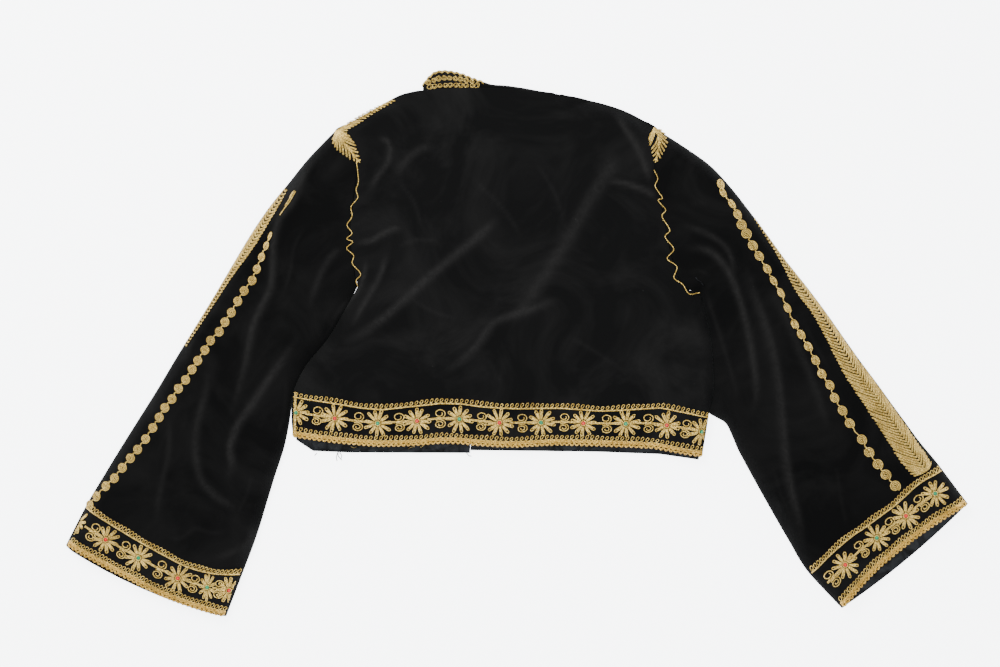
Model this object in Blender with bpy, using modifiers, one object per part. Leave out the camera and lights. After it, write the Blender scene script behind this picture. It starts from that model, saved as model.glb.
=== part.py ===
"""A cropped matador jacket of black velvet, laid flat on its front with its back uppermost.

The cloth is made of sewn pieces: back, two fronts, two tubular sleeves and a stand collar.
Couched gold trim lies on it: flower bands at hem and cuffs, a chain of spiral discs and a
feather panel down each sleeve, and a leaf at each shoulder.
Sizes below are in millimetres, in the jacket's frame: +Z up, +Y towards the collar, the
origin under the middle of the laid-out jacket. Left is the wearer's left.
"""

import math

import bmesh
import bpy
import numpy as np
from mathutils import Vector
from mathutils.bvhtree import BVHTree

MM = 0.001
COLLECTION = "matador jacket"
HELPERS = "shapes to join"

# Cloth
WALL = 2.2  # velvet with its lining
SEAM_GAP = 0.3
SEAM_CLEARANCE = 0.25  # on each side of a seam that curves in height too
EDGE_HEIGHT = WALL + SEAM_GAP + WALL  # top of the cloth where the two layers meet
NECK_HEIGHT = 8.2  # the back is propped up there by the folded collar
BODY_HEIGHT = 12.2
SLEEVE_HEIGHT = 14.6
HEM_DROP = 1.8
HEM_DROP_REACH = 60.0
EDGE_ROLL = 17.0  # how far in from an edge the cloth reaches its full height
NECK_REACH = (20.0, 50.0)  # how far from the neck its extra height starts and ends fading
BODY_MIDDLE = -20.0  # X of the back's middle line
BODY_HALF_WIDTH = 262.0
SLEEVE_RISE = (170.0, 260.0)  # how far from the middle line the cloth rises to the sleeve's height

# Trim
TRIM_THICKNESS = 0.8
FLOWER_RADIUS = 17.5
FLOWER_PETALS = 10
FLOWER_RAISE = 1.0
DISC_RAISE = 0.7
SINK = 0.4  # how deep a raised shape is joined into its strip
DOME_RINGS = (1.0, 0.7, 0.4)  # of the underside, as shares of its outline
DOME_PEAK = 1.35  # height at the centre to that at the outline
PETAL = ((-0.27, 0.93), (0.27, 0.93), (0.5, 0.45))  # angle as a share of a petal's, radius as a share
ALTERNATE_TURN = 0.26  # of every second flower
SCROLL_RAISE_SHARE = 0.8
SCROLL_RADII = (6.4, 4.6)
SCROLL_OFFSET = 6.6
DISC_RADIUS = 6.6
DISC_PITCH = {"left": 14.9, "right": 17.6}
FEATHER_WIDTH = 25.0

# Seam lines, as points to draw a smooth curve through, from the hem up
SIDE_LEFT = ((-281, -117), (-283, -90), (-280, -60), (-265, -28), (-234, 11), (-200, 71))
SIDE_RIGHT = ((232, -142), (241, -86), (247, -56), (245, -8), (240, 23), (229, 64))
ARMHOLE_LEFT = (
    (-200, 71), (-205, 102), (-209, 136), (-206, 169), (-201, 204), (-200, 227), (-212, 246), (-229, 266),
)
ARMHOLE_RIGHT = (
    (229, 64), (213, 68), (201, 84), (190, 123), (182, 167), (174, 204), (172, 227), (174, 246), (178, 267),
)
SHOULDER_LEFT = ((-229, 266), (-190, 288), (-154, 308), (-124, 317))
SHOULDER_RIGHT = ((178, 267), (144, 288), (104, 302), (54, 312))
NECK_BACK = ((-124, 317), (-80, 319), (-34, 320), (10, 317), (54, 312))
NECK_FRONT_LEFT = ((-124, 317), (-116, 285), (-90, 256), (-40, 240))
NECK_FRONT_RIGHT = ((54, 312), (46, 284), (18, 256), (-34, 240))

# Where the band's top edge crosses the side seams, as a share of the seam's length
BAND_SHARE = 0.27

# The hem's and the band's rise above a straight line, at shares of the way from left to right
HEM_WAVE = (
    # share, hem, band top
    (0.00, 0.0, 0.0),
    (0.10, -4.5, -5.5),
    (0.20, -7.0, -11.5),
    (0.29, -4.0, -4.0),
    (0.38, 2.5, 3.3),
    (0.46, 0.4, -0.7),
    (0.53, 0.0, -1.0),
    (0.64, 6.0, 2.8),
    (0.75, 7.5, 1.5),
    (0.88, 8.0, 9.5),
    (0.95, 2.5, 4.5),
    (1.00, 0.0, 0.0),
)

# Sleeves: the outer edge and, past the body, the inner edge, section by section to the cuff
LEFT_OUTER = (
    (-229, 266), (-261, 233), (-286, 202), (-311, 171), (-334, 137), (-358, 97), (-381, 58), (-405, 19),
    (-429, -20), (-451, -57), (-473, -92), (-495, -127), (-517, -163), (-540, -202), (-566, -253),
)
LEFT_INNER_FREE = (
    (-285, -95), (-292, -130), (-303, -164), (-314, -200), (-323, -230),
    (-332, -256), (-342, -282), (-365, -342),
)
RIGHT_OUTER = (
    (178, 267), (243, 223), (292, 166), (334, 109), (364, 71), (388, 39), (409, 9), (431, -22),
    (452, -50), (470, -75), (487, -98), (503, -120), (517, -137), (530, -153), (566, -201),
)
RIGHT_INNER_FREE = (
    (262, -100), (277, -132), (293, -162), (309, -191), (326, -221), (344, -252), (365, -286), (408, -332),
)
# How far the cuff's upper and lower edges bulge past a straight line
CUFF_BULGE = {"left": (9.0, 11.0), "right": (-11.0, 5.0)}
SECTIONS = 15
SECTIONS_ON_SEAM = 7
BULGE_SECTIONS = (9, 14)  # over which the cuff's bulge grows to its full size
BAND_SECTION = 13  # the cuff band runs from here to the last section

# How far in from the sleeve's outer edge the line of spiral discs runs
CHAIN = {
    "left": (
        # section, millimetres in
        (0.0, 18.0),
        (2.0, 18.0),
        (3.0, 27.7),
        (4.5, 36.6),
        (5.5, 33.1),
        (8.0, 30.3),
        (10.0, 24.3),
        (11.0, 20.6),
        (12.0, 15.0),
        (14.0, 14.4),
    ),
    "right": (
        (0.0, 18.0),
        (1.5, 18.0),
        (2.0, 20.5),
        (3.0, 28.5),
        (4.0, 37.3),
        (5.0, 43.8),
        (6.0, 47.9),
        (8.0, 59.3),
        (9.0, 61.2),
        (14.0, 63.0),
    ),
}
CHAIN_HALF_WIDTH = 7.4
CHAIN_SECTIONS = {"left": (2.0, 13.0), "right": (1.5, 13.0)}
# First and last section of the feather panels, and its width there as a share of the full one
FEATHER = {"left": ((1.7, 0.5), (7.0, 0.55), (9.5, 0.2)), "right": ((2.0, 0.3), (4.0, 0.6), (12.6, 1.0))}

# Folds of the upper layer, and how much of one is left at a seam or an edge
FOLD_LEFT_AT_EDGE = 0.15
FOLD_TAPER = 0.25  # share of a fold's length over which each of its ends fades
FOLDS = (
    # height, softness left of the line, softness right of it, the line
    (3.4, 14, 17, ((-215, -2), (-165, 34), (-100, 92), (-46, 136), (-21, 161))),
    (3.0, 12, 16, ((-100, -47), (-52, -4), (-29, 27), (18, 43), (60, 59))),
    (2.6, 22, 26, ((-21, 11), (35, 86), (104, 201), (131, 242))),
    (3.6, 9, 12, ((-206, 126), (-184, 128), (-170, 136), (-155, 143), (-139, 142))),
    (3.2, 9, 8, ((-189, 109), (-191, 86), (-201, 64), (-221, 43), (-240, 11))),
    (3.2, 9, 11, ((-161, 117), (-171, 84), (-188, 54), (-209, 17))),
    (3.0, 10, 12, ((-179, 257), (-161, 252), (-160, 229), (-175, 207), (-189, 184))),
    (2.4, 14, 14, ((-101, 251), (-131, 236), (-154, 209))),
    (3.2, 16, 10, ((119, 294), (134, 269), (151, 241), (160, 219), (166, 197))),
    (3.6, 10, 10, ((111, 204), (136, 199), (159, 192), (178, 179))),
    (3.6, 10, 10, ((199, 151), (224, 142), (244, 133), (261, 119), (269, 99), (270, 79))),
    (5.4, 13, 12, (
        (201, 114), (224, 119), (244, 112), (260, 94), (271, 72),
        (283, 34), (291, -3), (297, -41), (298, -68), (291, -102),
    )),
    (4.6, 12, 20, (
        (281, 114), (294, 69), (312, 19), (324, -28), (330, -76), (335, -129),
        (342, -179), (354, -228), (360, -273),
    )),
    (3.0, 13, 16, ((310, 79), (335, 34), (355, -13), (374, -61), (394, -123))),
    (5.6, 15, 11, (
        (-240, 250), (-259, 224), (-272, 197), (-281, 177), (-297, 156), (-304, 129), (-305, 98),
        (-308, 69), (-321, 42), (-331, 16), (-338, -20), (-352, -71), (-365, -104),
    )),
    (5.4, 15, 13, (
        (-268, 17), (-290, -17), (-312, -48), (-331, -77), (-349, -103), (-358, -129),
        (-356, -152), (-364, -178),
    )),
    (3.8, 14, 14, (
        (-381, -11), (-388, -58), (-399, -102), (-401, -136), (-395, -167),
        (-378, -189), (-358, -202), (-348, -212),
    )),
    (2.4, 11, 11, ((-435, -83), (-434, -133), (-444, -177), (-452, -229))),
    (3.2, 12, 12, ((-216, 122), (-234, 106), (-248, 79), (-262, 39))),
    (2.8, 11, 13, ((-331, -221), (-334, -246), (-356, -261), (-382, -271))),
)

# Seats of the flowers along each band, as shares of its length
HEM_FLOWERS = tuple(0.104 + 0.1016 * k for k in range(9))
CUFF_FLOWERS = {"left": (0.19, 0.41, 0.67, 0.84), "right": (0.12, 0.345, 0.567, 0.80)}

# Grid of the back: rows as shares of side seam, armhole and shoulder, and columns
SIDE_ROWS = (
    0.0, 0.09, 0.18, 0.27, 0.331, 0.392, 0.453, 0.513, 0.574, 0.635, 0.696, 0.757, 0.818, 0.878, 0.939, 1.0,
)
ARMHOLE_ROWS = (0.07, 0.15, 0.25, 0.37, 0.5, 0.63, 0.75, 0.85, 0.93, 1.0)
LOWER_ARMHOLE_ROWS = (0.25, 0.5, 0.75, 1.0)
SHOULDER_ROWS = (0.2, 0.4, 0.6, 0.8, 1.0)
BAND_ROWS = SIDE_ROWS.index(BAND_SHARE) + 1
BACK_EDGE_COLUMNS = (0.0, 0.012, 0.034)
BACK_MIDDLE_COLUMNS = 19
WAVE_FADES = (BAND_SHARE, BAND_SHARE + 0.5)  # rows over which the band's wave fades into straight rows

# Where a sleeve's points lie across it: millimetres in from each edge, and shares between
SLEEVE_EDGE_POINTS = (2.8, 9.0)
LEAST_SPACING = 1.3
FOLD_EDGE_HEIGHT = 2.5  # of the middle of the cloth's roll at a sleeve's edge
FLOOR_INSET = 2.6
FLOOR_POINTS = 5
EDGE_WALL_SHARE = 0.85  # of the way from a sleeve's edge to its floor
CLEARLY_SHORTER = 0.8
LEAST_SLANT = 0.18
MOST_MITRE = 2.5
MOST_SLOPE = 1.6  # of the wall's height, upright, to its thickness
# Sections over which the armhole's curve fades along the sleeve, and where across it that grows shorter
BOW_REACH = (0.5, 3.5)
BOW_SHORTENS = (0.5, 0.9)
# Where the sleeve's first ring has its top points, counted in points of the armhole from the shoulder
ARMHOLE_RING = (0.35, 1, 1.5, 2, 3, 4, 4.5, 5, 6, 7, 8, 8.5, 9, 9.65)


def spline(points, per_span=10):
    """A smooth curve through the points, as closely spaced points."""
    p = np.array(points, float)
    p = np.vstack([2 * p[0] - p[1], p, 2 * p[-1] - p[-2]])
    t = np.linspace(0, 1, per_span, endpoint=False)[:, None]
    spans = []
    for a, b, c, d in zip(p, p[1:], p[2:], p[3:]):
        spans.append(
            0.5 * (2 * b + (c - a) * t + (2 * a - 5 * b + 4 * c - d) * t**2 + (3 * b - a - 3 * c + d) * t**3)
        )
    return np.vstack(spans + [p[-2:-1]])


def along(curve, shares):
    """Points at shares of the length of a curve of closely spaced points."""
    steps = np.linalg.norm(np.diff(curve, axis=0), axis=1)
    length = np.concatenate([[0], np.cumsum(steps)])
    at = np.asarray(shares, float) * length[-1]
    return np.stack([np.interp(at, length, curve[:, k]) for k in range(curve.shape[1])], axis=-1)


def ease(x):
    x = np.clip(x, 0, 1)
    return x * x * (3 - 2 * x)


def ramp(x, start, end):
    """A smooth rise from 0 at the start to 1 at the end."""
    return ease((x - start) / (end - start))


def distance_to(curve, xy):
    """Signed distance from a curve (positive to its left) and the share of its length, for points xy."""
    a, b = curve[:-1], curve[1:]
    d = b - a
    reach = np.full(len(xy), np.inf)
    side = np.ones(len(xy))
    share = np.zeros(len(xy))
    for i in range(len(a)):
        rel = xy - a[i]
        t = np.clip(rel @ d[i] / (d[i] @ d[i]), 0, 1)
        off = rel - t[:, None] * d[i]
        far = np.hypot(off[:, 0], off[:, 1])
        nearer = far < reach
        reach[nearer] = far[nearer]
        side[nearer] = np.sign(d[i, 0] * rel[nearer, 1] - d[i, 1] * rel[nearer, 0])
        share[nearer] = (i + t[nearer]) / len(a)
    return reach * side, share


def inner_edge(side, free):
    """A sleeve's inner edge: down the side seam to the band, then clear of the body."""
    return [tuple(p) for p in along(spline(side), np.linspace(1, BAND_SHARE, SECTIONS_ON_SEAM))] + list(free)


SLEEVES = {
    "left": {"outer": LEFT_OUTER, "inner": inner_edge(SIDE_LEFT, LEFT_INNER_FREE), "armhole": ARMHOLE_LEFT},
    "right": {
        "outer": RIGHT_OUTER,
        "inner": inner_edge(SIDE_RIGHT, RIGHT_INNER_FREE),
        "armhole": ARMHOLE_RIGHT,
    },
}
# The lines at which the upper layer comes down to the lower one
EDGES = [
    spline(points, 4)
    for points in (
        SIDE_LEFT, SIDE_RIGHT, SHOULDER_LEFT, SHOULDER_RIGHT,
        LEFT_OUTER, RIGHT_OUTER, SLEEVES["left"]["inner"], SLEEVES["right"]["inner"],
    )
]
NECK_EDGE = spline(NECK_BACK, 4)
HEM_LINE = spline((SIDE_LEFT[0], (0, -128), SIDE_RIGHT[0]), 6)
FOLD_LINES = [(height, left, right, spline(line, 4)) for height, left, right, line in FOLDS]


def offset_line(points, distance):
    """An open line of points moved to its left by a distance, with mitred corners."""
    points = np.asarray(points, float)
    run = np.diff(points, axis=0)
    run /= np.linalg.norm(run, axis=1)[:, None]
    normal = np.column_stack([-run[:, 1], run[:, 0]])
    before = np.vstack([normal[:1], normal])
    after = np.vstack([normal, normal[-1:]])
    mitre = (before + after) / np.maximum(1 + (before * after).sum(axis=1), 1 / MOST_MITRE)[:, None]
    return points + distance * mitre


def fold_height(xy):
    total = np.zeros(len(xy))
    for height, left, right, line in FOLD_LINES:
        far, share = distance_to(line, xy)
        softness = np.where(far > 0, left, right)
        taper = ease(share / FOLD_TAPER) * ease((1 - share) / FOLD_TAPER)
        total += height * taper * np.exp(-((far / softness) ** 2))
    return total


def cloth_height(xy):
    """Height of the upper layer's outside above the surface that the jacket lies on."""
    xy = np.asarray(xy, float).reshape(-1, 2)
    edge = np.min([np.abs(distance_to(line, xy)[0]) for line in EDGES], axis=0)
    neck = np.abs(distance_to(NECK_EDGE, xy)[0])
    hem = np.abs(distance_to(HEM_LINE, xy)[0])
    off = np.abs(xy[:, 0] - BODY_MIDDLE)
    plateau = BODY_HEIGHT + (SLEEVE_HEIGHT - BODY_HEIGHT) * ramp(off, *SLEEVE_RISE)
    plateau -= HEM_DROP * (1 - ease(hem / HEM_DROP_REACH)) * (off < BODY_HALF_WIDTH)
    rise = np.sin(np.clip(edge / EDGE_ROLL, 0, 1) * math.pi / 2)
    z = EDGE_HEIGHT + (plateau - EDGE_HEIGHT) * rise
    propped = NECK_HEIGHT + (plateau - NECK_HEIGHT) * np.sin(np.clip(neck / EDGE_ROLL, 0, 1) * math.pi / 2)
    z = np.maximum(z, propped * (1 - ramp(neck, *NECK_REACH)))
    return z + fold_height(xy) * (FOLD_LEFT_AT_EDGE + (1 - FOLD_LEFT_AT_EDGE) * rise)


def with_height(xy):
    shape = xy.shape[:-1]
    return np.concatenate([xy, cloth_height(xy).reshape(*shape, 1)], axis=-1)


def normals_of(grid):
    """Upward unit normals of a grid of points."""
    du = np.gradient(grid, axis=0)
    dv = np.gradient(grid, axis=1)
    n = np.cross(du, dv)
    n /= np.linalg.norm(n, axis=-1, keepdims=True)
    return n * np.sign(n[..., 2:3])


def grid_faces(grid):
    """Triangles of a grid of points, each quad split across its clearly shorter diagonal."""
    rows, columns = grid.shape[:2]
    faces = []
    for i in range(rows - 1):
        for j in range(columns - 1):
            a, b = i * columns + j, i * columns + j + 1
            c, d = b + columns, a + columns
            one = np.linalg.norm(grid[i + 1, j + 1] - grid[i, j])
            other = np.linalg.norm(grid[i + 1, j] - grid[i, j + 1])
            if other < CLEARLY_SHORTER * one:
                faces += [(a, b, d), (b, c, d)]
            else:
                faces += [(a, b, c), (a, c, d)]
    return faces


def mesh_object(name, points, faces, material):
    """An object in the jacket's collection from points in millimetres."""
    mesh = bpy.data.meshes.new(name)
    mesh.from_pydata([Vector(p) * MM for p in points], [], faces)
    bm = bmesh.new()
    bm.from_mesh(mesh)
    bmesh.ops.recalc_face_normals(bm, faces=bm.faces)
    bm.to_mesh(mesh)
    bm.free()
    obj = bpy.data.objects.new(name, mesh)
    bpy.data.collections[COLLECTION].objects.link(obj)
    if material:
        mesh.materials.append(material)
    mesh.shade_smooth()
    return obj


def wall(name, outer, inner, material_):
    """A closed wall between two grids of points."""
    columns = outer.shape[1]
    n = outer.shape[0] * columns
    faces = grid_faces(outer)
    faces += [tuple(n + i for i in reversed(face)) for face in faces]
    up, down = range(2 * columns - 1, n, columns), range(n - 2 * columns, -1, -columns)
    rim = [*range(columns), *up, *reversed(range(n - columns, n - 1)), *down]
    for a, b in zip(rim, rim[1:]):
        faces += [(b, a, n + a), (b, n + a, n + b)]
    points = np.vstack([outer.reshape(-1, 3), inner.reshape(-1, 3)])
    return mesh_object(name, points, faces, material_)


def material(name, colour, roughness, metallic=0.0):
    made = bpy.data.materials.new(name)
    made.use_nodes = True
    shader = made.node_tree.nodes["Principled BSDF"]
    shader.inputs["Base Color"].default_value = (*colour, 1.0)
    shader.inputs["Roughness"].default_value = roughness
    shader.inputs["Metallic"].default_value = metallic
    return made


def body_edge(which, side_rows, armhole_rows, shoulder_rows):
    """The edge of a body panel from hem to neck, moved in by the seam's clearance."""
    curves = {
        "left": (SIDE_LEFT, ARMHOLE_LEFT, SHOULDER_LEFT),
        "right": (SIDE_RIGHT, ARMHOLE_RIGHT, SHOULDER_RIGHT),
    }[which]
    rows = (side_rows, armhole_rows, shoulder_rows)
    line = np.vstack([along(spline(curve), shares) for curve, shares in zip(curves, rows)])
    return offset_line(line, SEAM_CLEARANCE * (-1 if which == "left" else 1))


def back_grid():
    """Plan and height of the back's outside, rows from hem to neck, columns from left to right."""
    shares = list(SIDE_ROWS) + [1.0] * (len(ARMHOLE_ROWS) + len(SHOULDER_ROWS))
    edges = [body_edge(which, SIDE_ROWS, ARMHOLE_ROWS, SHOULDER_ROWS) for which in ("left", "right")]
    edge = list(BACK_EDGE_COLUMNS)
    middle = np.linspace(0.07, 0.93, BACK_MIDDLE_COLUMNS)
    u = np.array(edge + list(middle) + [1 - x for x in reversed(edge)])
    wave = np.array(HEM_WAVE)
    hem_wave = np.interp(u, wave[:, 0], wave[:, 1])
    band_wave = np.interp(u, wave[:, 0], wave[:, 2])
    grid = []
    for q, left, right in zip(shares, *edges):
        row = left + u[:, None] * (right - left)
        up = min(q / BAND_SHARE, 1)
        lift = (1 - up) * hem_wave + up * band_wave
        row[:, 1] += lift * (1 - ramp(q, *WAVE_FADES))
        grid.append(row)
    top = along(spline(NECK_BACK), u)
    grid[-1][:, 1] = top[:, 1] - SEAM_CLEARANCE
    return with_height(np.array(grid))


def slant(direction, line):
    """Sines of the angles at which sections cross a line that has a point on each of them."""
    run = np.gradient(line, axis=0)
    run /= np.linalg.norm(run, axis=1)[:, None]
    return np.clip(np.abs(direction[:, 0] * run[:, 1] - direction[:, 1] * run[:, 0]), LEAST_SLANT, 1)


def sleeve_sections(which):
    """Section numbers, outer and inner ends, and the shares across of each one's top and floor points.

    Among the top points the third is the feather's inner edge, and the fourth and fifth hold the disc chain.
    """
    k = np.linspace(0, SECTIONS - 1, 2 * SECTIONS - 1)
    outer = spline(SLEEVES[which]["outer"], 2)
    inner = spline(SLEEVES[which]["inner"], 2)
    seam_rows = SIDE_ROWS[: BAND_ROWS - 2 : -1]
    inner[: len(seam_rows)] = along(spline(SIDE_LEFT if which == "left" else SIDE_RIGHT), seam_rows)
    inner = offset_line(inner, SEAM_CLEARANCE * (1 if which == "left" else -1))
    width = np.linalg.norm(inner - outer, axis=1)
    across = (inner - outer) / width[:, None]
    middle = np.interp(k, *zip(*CHAIN[which]))
    half = CHAIN_HALF_WIDTH / slant(across, outer + middle[:, None] * across)
    at_outer, at_inner = 1 / slant(across, outer), 1 / slant(across, inner)
    first, second = SLEEVE_EDGE_POINTS
    start = np.maximum(middle - half, 4 * LEAST_SPACING + first)
    end = start + 2 * half
    second = np.minimum(second * at_outer, start - 2 * LEAST_SPACING)
    feather = np.interp(k, *zip(*FEATHER[which])) * FEATHER_WIDTH
    feather = np.clip(feather * at_outer, second + LEAST_SPACING, start - LEAST_SPACING)
    last = width - SLEEVE_EDGE_POINTS[1] * at_inner
    rest = [end + (last - end) * share for share in np.linspace(0, 1, 9)[1:]]
    top = np.array([first * at_outer, second, feather, start, end, *rest, width - first * at_inner])
    quarters = [share * width for share in (0.75, 0.5, 0.25)]
    floor = np.array([width - FLOOR_INSET * at_inner, *quarters, FLOOR_INSET * at_outer])
    return k, outer, inner, (top / width).T, (floor / width).T


def bow(k, w):
    """What is left, at a section, of the armhole seam's curve away from a straight line."""
    least, most = BOW_REACH
    return 1 - ease(k / (least + (most - least) * (1 - ramp(w, *BOW_SHORTENS))))


def sleeve_plan(which, k, outer, inner, w, upper=True):
    """Plan positions across one section at shares w, bent to the armhole and to the cuff at its two ends."""
    points = outer + w[:, None] * (inner - outer)
    armhole = spline(SLEEVES[which]["armhole"])
    seam = along(armhole, 1 - w)
    chord = armhole[-1] + w[:, None] * (armhole[0] - armhole[-1])
    points += (seam - chord) * bow(k, w)[:, None]
    bulge = CUFF_BULGE[which][0 if upper else 1]
    down = np.array([inner[1] - outer[1], outer[0] - inner[0]])
    down = down / np.linalg.norm(down) * (1 if which == "left" else -1)
    points += down * (4 * w * (1 - w) * bulge * ramp(k, *BULGE_SECTIONS))[:, None]
    return points


def armhole_line(which, shares, places):
    """Points on the sleeve's side of the armhole seam, at places counted along its corners."""
    corners = along(spline(SLEEVES[which]["armhole"]), shares)
    corners = offset_line(corners, SEAM_CLEARANCE * (1 if which == "left" else -1))
    return np.stack([np.interp(places, np.arange(len(corners)), corners[:, k]) for k in (0, 1)], axis=-1)


def first_ring(which):
    """The sleeve's ring at the armhole, on the same corners as the back and the front have there."""
    upper = tuple(reversed((0.0,) + ARMHOLE_ROWS))
    lower = (0.0,) + LOWER_ARMHOLE_ROWS
    top = with_height(armhole_line(which, upper, np.array(ARMHOLE_RING)))
    ends = armhole_line(which, lower, np.array([4.0, 0.0]))
    floor = armhole_line(which, lower, np.array([0.06, 1.0, 2.0, 3.0, 3.94]))
    side = np.column_stack([ends, [FOLD_EDGE_HEIGHT] * 2])
    return np.vstack([side[:1], top, side[1:], np.column_stack([floor, np.zeros(len(floor))])])


def sleeve_rings(which):
    """Rings of a sleeve's outside from armhole to cuff: outer edge, top points, inner edge, floor points."""
    rings = [first_ring(which)]
    for k, outer, inner, top_w, floor_w in list(zip(*sleeve_sections(which)))[1:]:
        top = with_height(sleeve_plan(which, k, outer, inner, top_w))
        ends = sleeve_plan(which, k, outer, inner, np.array([0.0, 1.0]))
        side = np.column_stack([ends, [FOLD_EDGE_HEIGHT] * 2])
        floor = sleeve_plan(which, k, outer, inner, floor_w, upper=False)
        rings.append(np.vstack([side[:1], top, side[1:], np.column_stack([floor, np.zeros(len(floor))])]))
    return np.array(rings)


def below(grid):
    """The inside of a nearly level stretch of cloth, straight under its outside."""
    slope = np.minimum(1 / normals_of(grid)[..., 2], MOST_SLOPE)
    inside = grid.copy()
    inside[..., 2] = np.maximum(grid[..., 2] - WALL * slope, WALL + SEAM_GAP)
    return inside


def sleeve(which, velvet):
    """A sleeve's two panels, seamed along its edges: the upper one arched over the under one, which lies flat."""
    rings = sleeve_rings(which)
    top_end = rings.shape[1] - FLOOR_POINTS - 1
    upper = rings[:, : top_end + 1]
    inner = upper.copy()
    inner[:, 1:top_end] = below(upper[:, 1:top_end])
    for side, on_floor in ((0, -1), (top_end, top_end + 1)):
        inward = (rings[:, on_floor] - rings[:, side]) * (1, 1, 0)
        inner[:, side] += inward * EDGE_WALL_SHARE
        inner[:, side, 2] = WALL + SEAM_GAP
    wall(f"sleeve_{which}_upper", upper, inner, velvet)
    under = np.concatenate([rings[:, top_end:], rings[:, :1]], axis=1) * (1, 1, 0)
    wall(f"sleeve_{which}_under", under + (0, 0, WALL), under, velvet)
    return rings


def strip_on(name, base, material_):
    """Flat trim that lies on the cloth: the cloth's own points moved out."""
    normals = normals_of(base)
    return wall(name, base + (SEAM_GAP + TRIM_THICKNESS) * normals, base + SEAM_GAP * normals, material_)


NECK_ROWS = (0.14, 0.28, 0.44, 0.62, 0.8, 1.0)
FRONT_HEM = {
    "left": ((-59, -137.5), (-209, -137), (-256, -135), (-277, -121)),
    "right": ((-54, -134), (100, -136), (180, -139), (228, -146)),
}


def front(which, lining):
    """One front panel, face down on the surface, as a flat outline."""
    neck = NECK_FRONT_LEFT if which == "left" else NECK_FRONT_RIGHT
    edge = body_edge(which, SIDE_ROWS[1:], LOWER_ARMHOLE_ROWS, (0.5, 1.0))
    outline = np.vstack([edge, along(spline(neck), NECK_ROWS), FRONT_HEM[which]])
    bm = bmesh.new()
    face = bm.faces.new([bm.verts.new((x * MM, y * MM, 0)) for x, y in outline])
    raised = bmesh.ops.extrude_face_region(bm, geom=[face])
    for v in (g for g in raised["geom"] if isinstance(g, bmesh.types.BMVert)):
        v.co.z = WALL * MM
    bmesh.ops.recalc_face_normals(bm, faces=bm.faces)
    mesh = bpy.data.meshes.new(f"front_{which}")
    bm.to_mesh(mesh)
    bm.free()
    obj = bpy.data.objects.new(f"front_{which}", mesh)
    bpy.data.collections[COLLECTION].objects.link(obj)
    mesh.materials.append(lining)


# The collar across the back of the neck, as it is folded there
COLLAR_HEIGHT = 27.0
COLLAR_CLEARANCE = 0.9
COLLAR_TURN = 1.6  # half the height of its fold
COLLAR_LAYER_DROP = 2.5  # from the upper to the lower fold
COLLAR_BACK = (
    # share of the neck edge, how far the band shows beyond it, height of its upper fold's middle
    (0.035, 6.0, 3.7),
    (0.075, 14.5, 5.6),
    (0.12, 20.4, 6.1),
    (0.18, 21.3, 6.1),
    (0.25, 19.5, 6.1),
    (0.32, 16.0, 6.1),
    (0.38, 11.0, 6.1),
    (0.45, 6.5, 6.1),
    (0.52, 2.5, 6.1),
    (0.62, 2.0, 6.1),
    (0.74, 2.0, 6.1),
    (0.86, 2.0, 6.1),
    (0.96, 2.0, 6.1),
)

# Its height along each front's neckline, less near the shoulder
FRONT_COLLAR = (
    # share of the neckline, height
    (0.28, 15.0),
    (0.44, 20.0),
    (0.62, 23.0),
    (0.80, 23.0),
    (1.00, 23.0),
)
FRONT_COLLAR_POINTS = 4


def folded_section(base, shown, upper):
    """Five points up the band: outwards for the length shown, then folded back under itself."""
    lower = upper - COLLAR_LAYER_DROP
    tail = COLLAR_HEIGHT - shown
    turn = min(COLLAR_TURN, shown / 2)
    stops = [(0.0, upper), (shown - turn, upper), (shown, (upper + lower) / 2), (shown - turn, lower)]
    stops.append((shown - tail, lower))
    return [(base[0], base[1] + out, z) for out, z in stops]


def collar(velvet):
    """The stand collar's stretch across the back of the neck, folded back under itself."""
    back = spline(NECK_BACK)
    sections = np.array([
        folded_section(along(back, [share])[0] + (0, COLLAR_CLEARANCE), shown, height)
        for share, shown, height in COLLAR_BACK
    ])
    obj = mesh_object("collar", sections.reshape(-1, 3), grid_faces(sections), velvet)
    solidify = obj.modifiers.new("wall", "SOLIDIFY")
    solidify.thickness = WALL * MM
    solidify.offset = 0.0


def front_collar(which, velvet):
    """The collar's stretch along one front's neckline, lying flat inside it on the surface."""
    side = 1 if which == "left" else -1
    shares, heights = np.array(FRONT_COLLAR).T
    neck = along(spline(NECK_FRONT_LEFT if which == "left" else NECK_FRONT_RIGHT), shares)
    base = offset_line(neck, side * SEAM_GAP)
    up = side * (offset_line(neck, 1) - neck)
    up[-1] = (0, 1)
    steps = np.linspace(0, 1, FRONT_COLLAR_POINTS)
    plan = base[:, None] + (up * heights[:, None])[:, None] * steps[:, None]
    lower = np.concatenate([plan, np.zeros((*plan.shape[:2], 1))], axis=-1)
    wall(f"collar_front_{which}", lower + (0, 0, WALL), lower, velvet)


def tree_of(obj):
    """A search tree of an object's evaluated surface, for finding heights on it."""
    graph = bpy.context.evaluated_depsgraph_get()
    return BVHTree.FromObject(obj, graph)


def height_on(tree, x, y):
    """Height of a strip at a place, or of its nearest point where the place is just past its edge."""
    hit = tree.ray_cast(Vector((x * MM, y * MM, 0.1)), Vector((0, 0, -1)))[0]
    if hit is None:
        hit = tree.find_nearest(Vector((x * MM, y * MM, SLEEVE_HEIGHT * MM)))[0]
    return hit.z / MM


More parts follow.
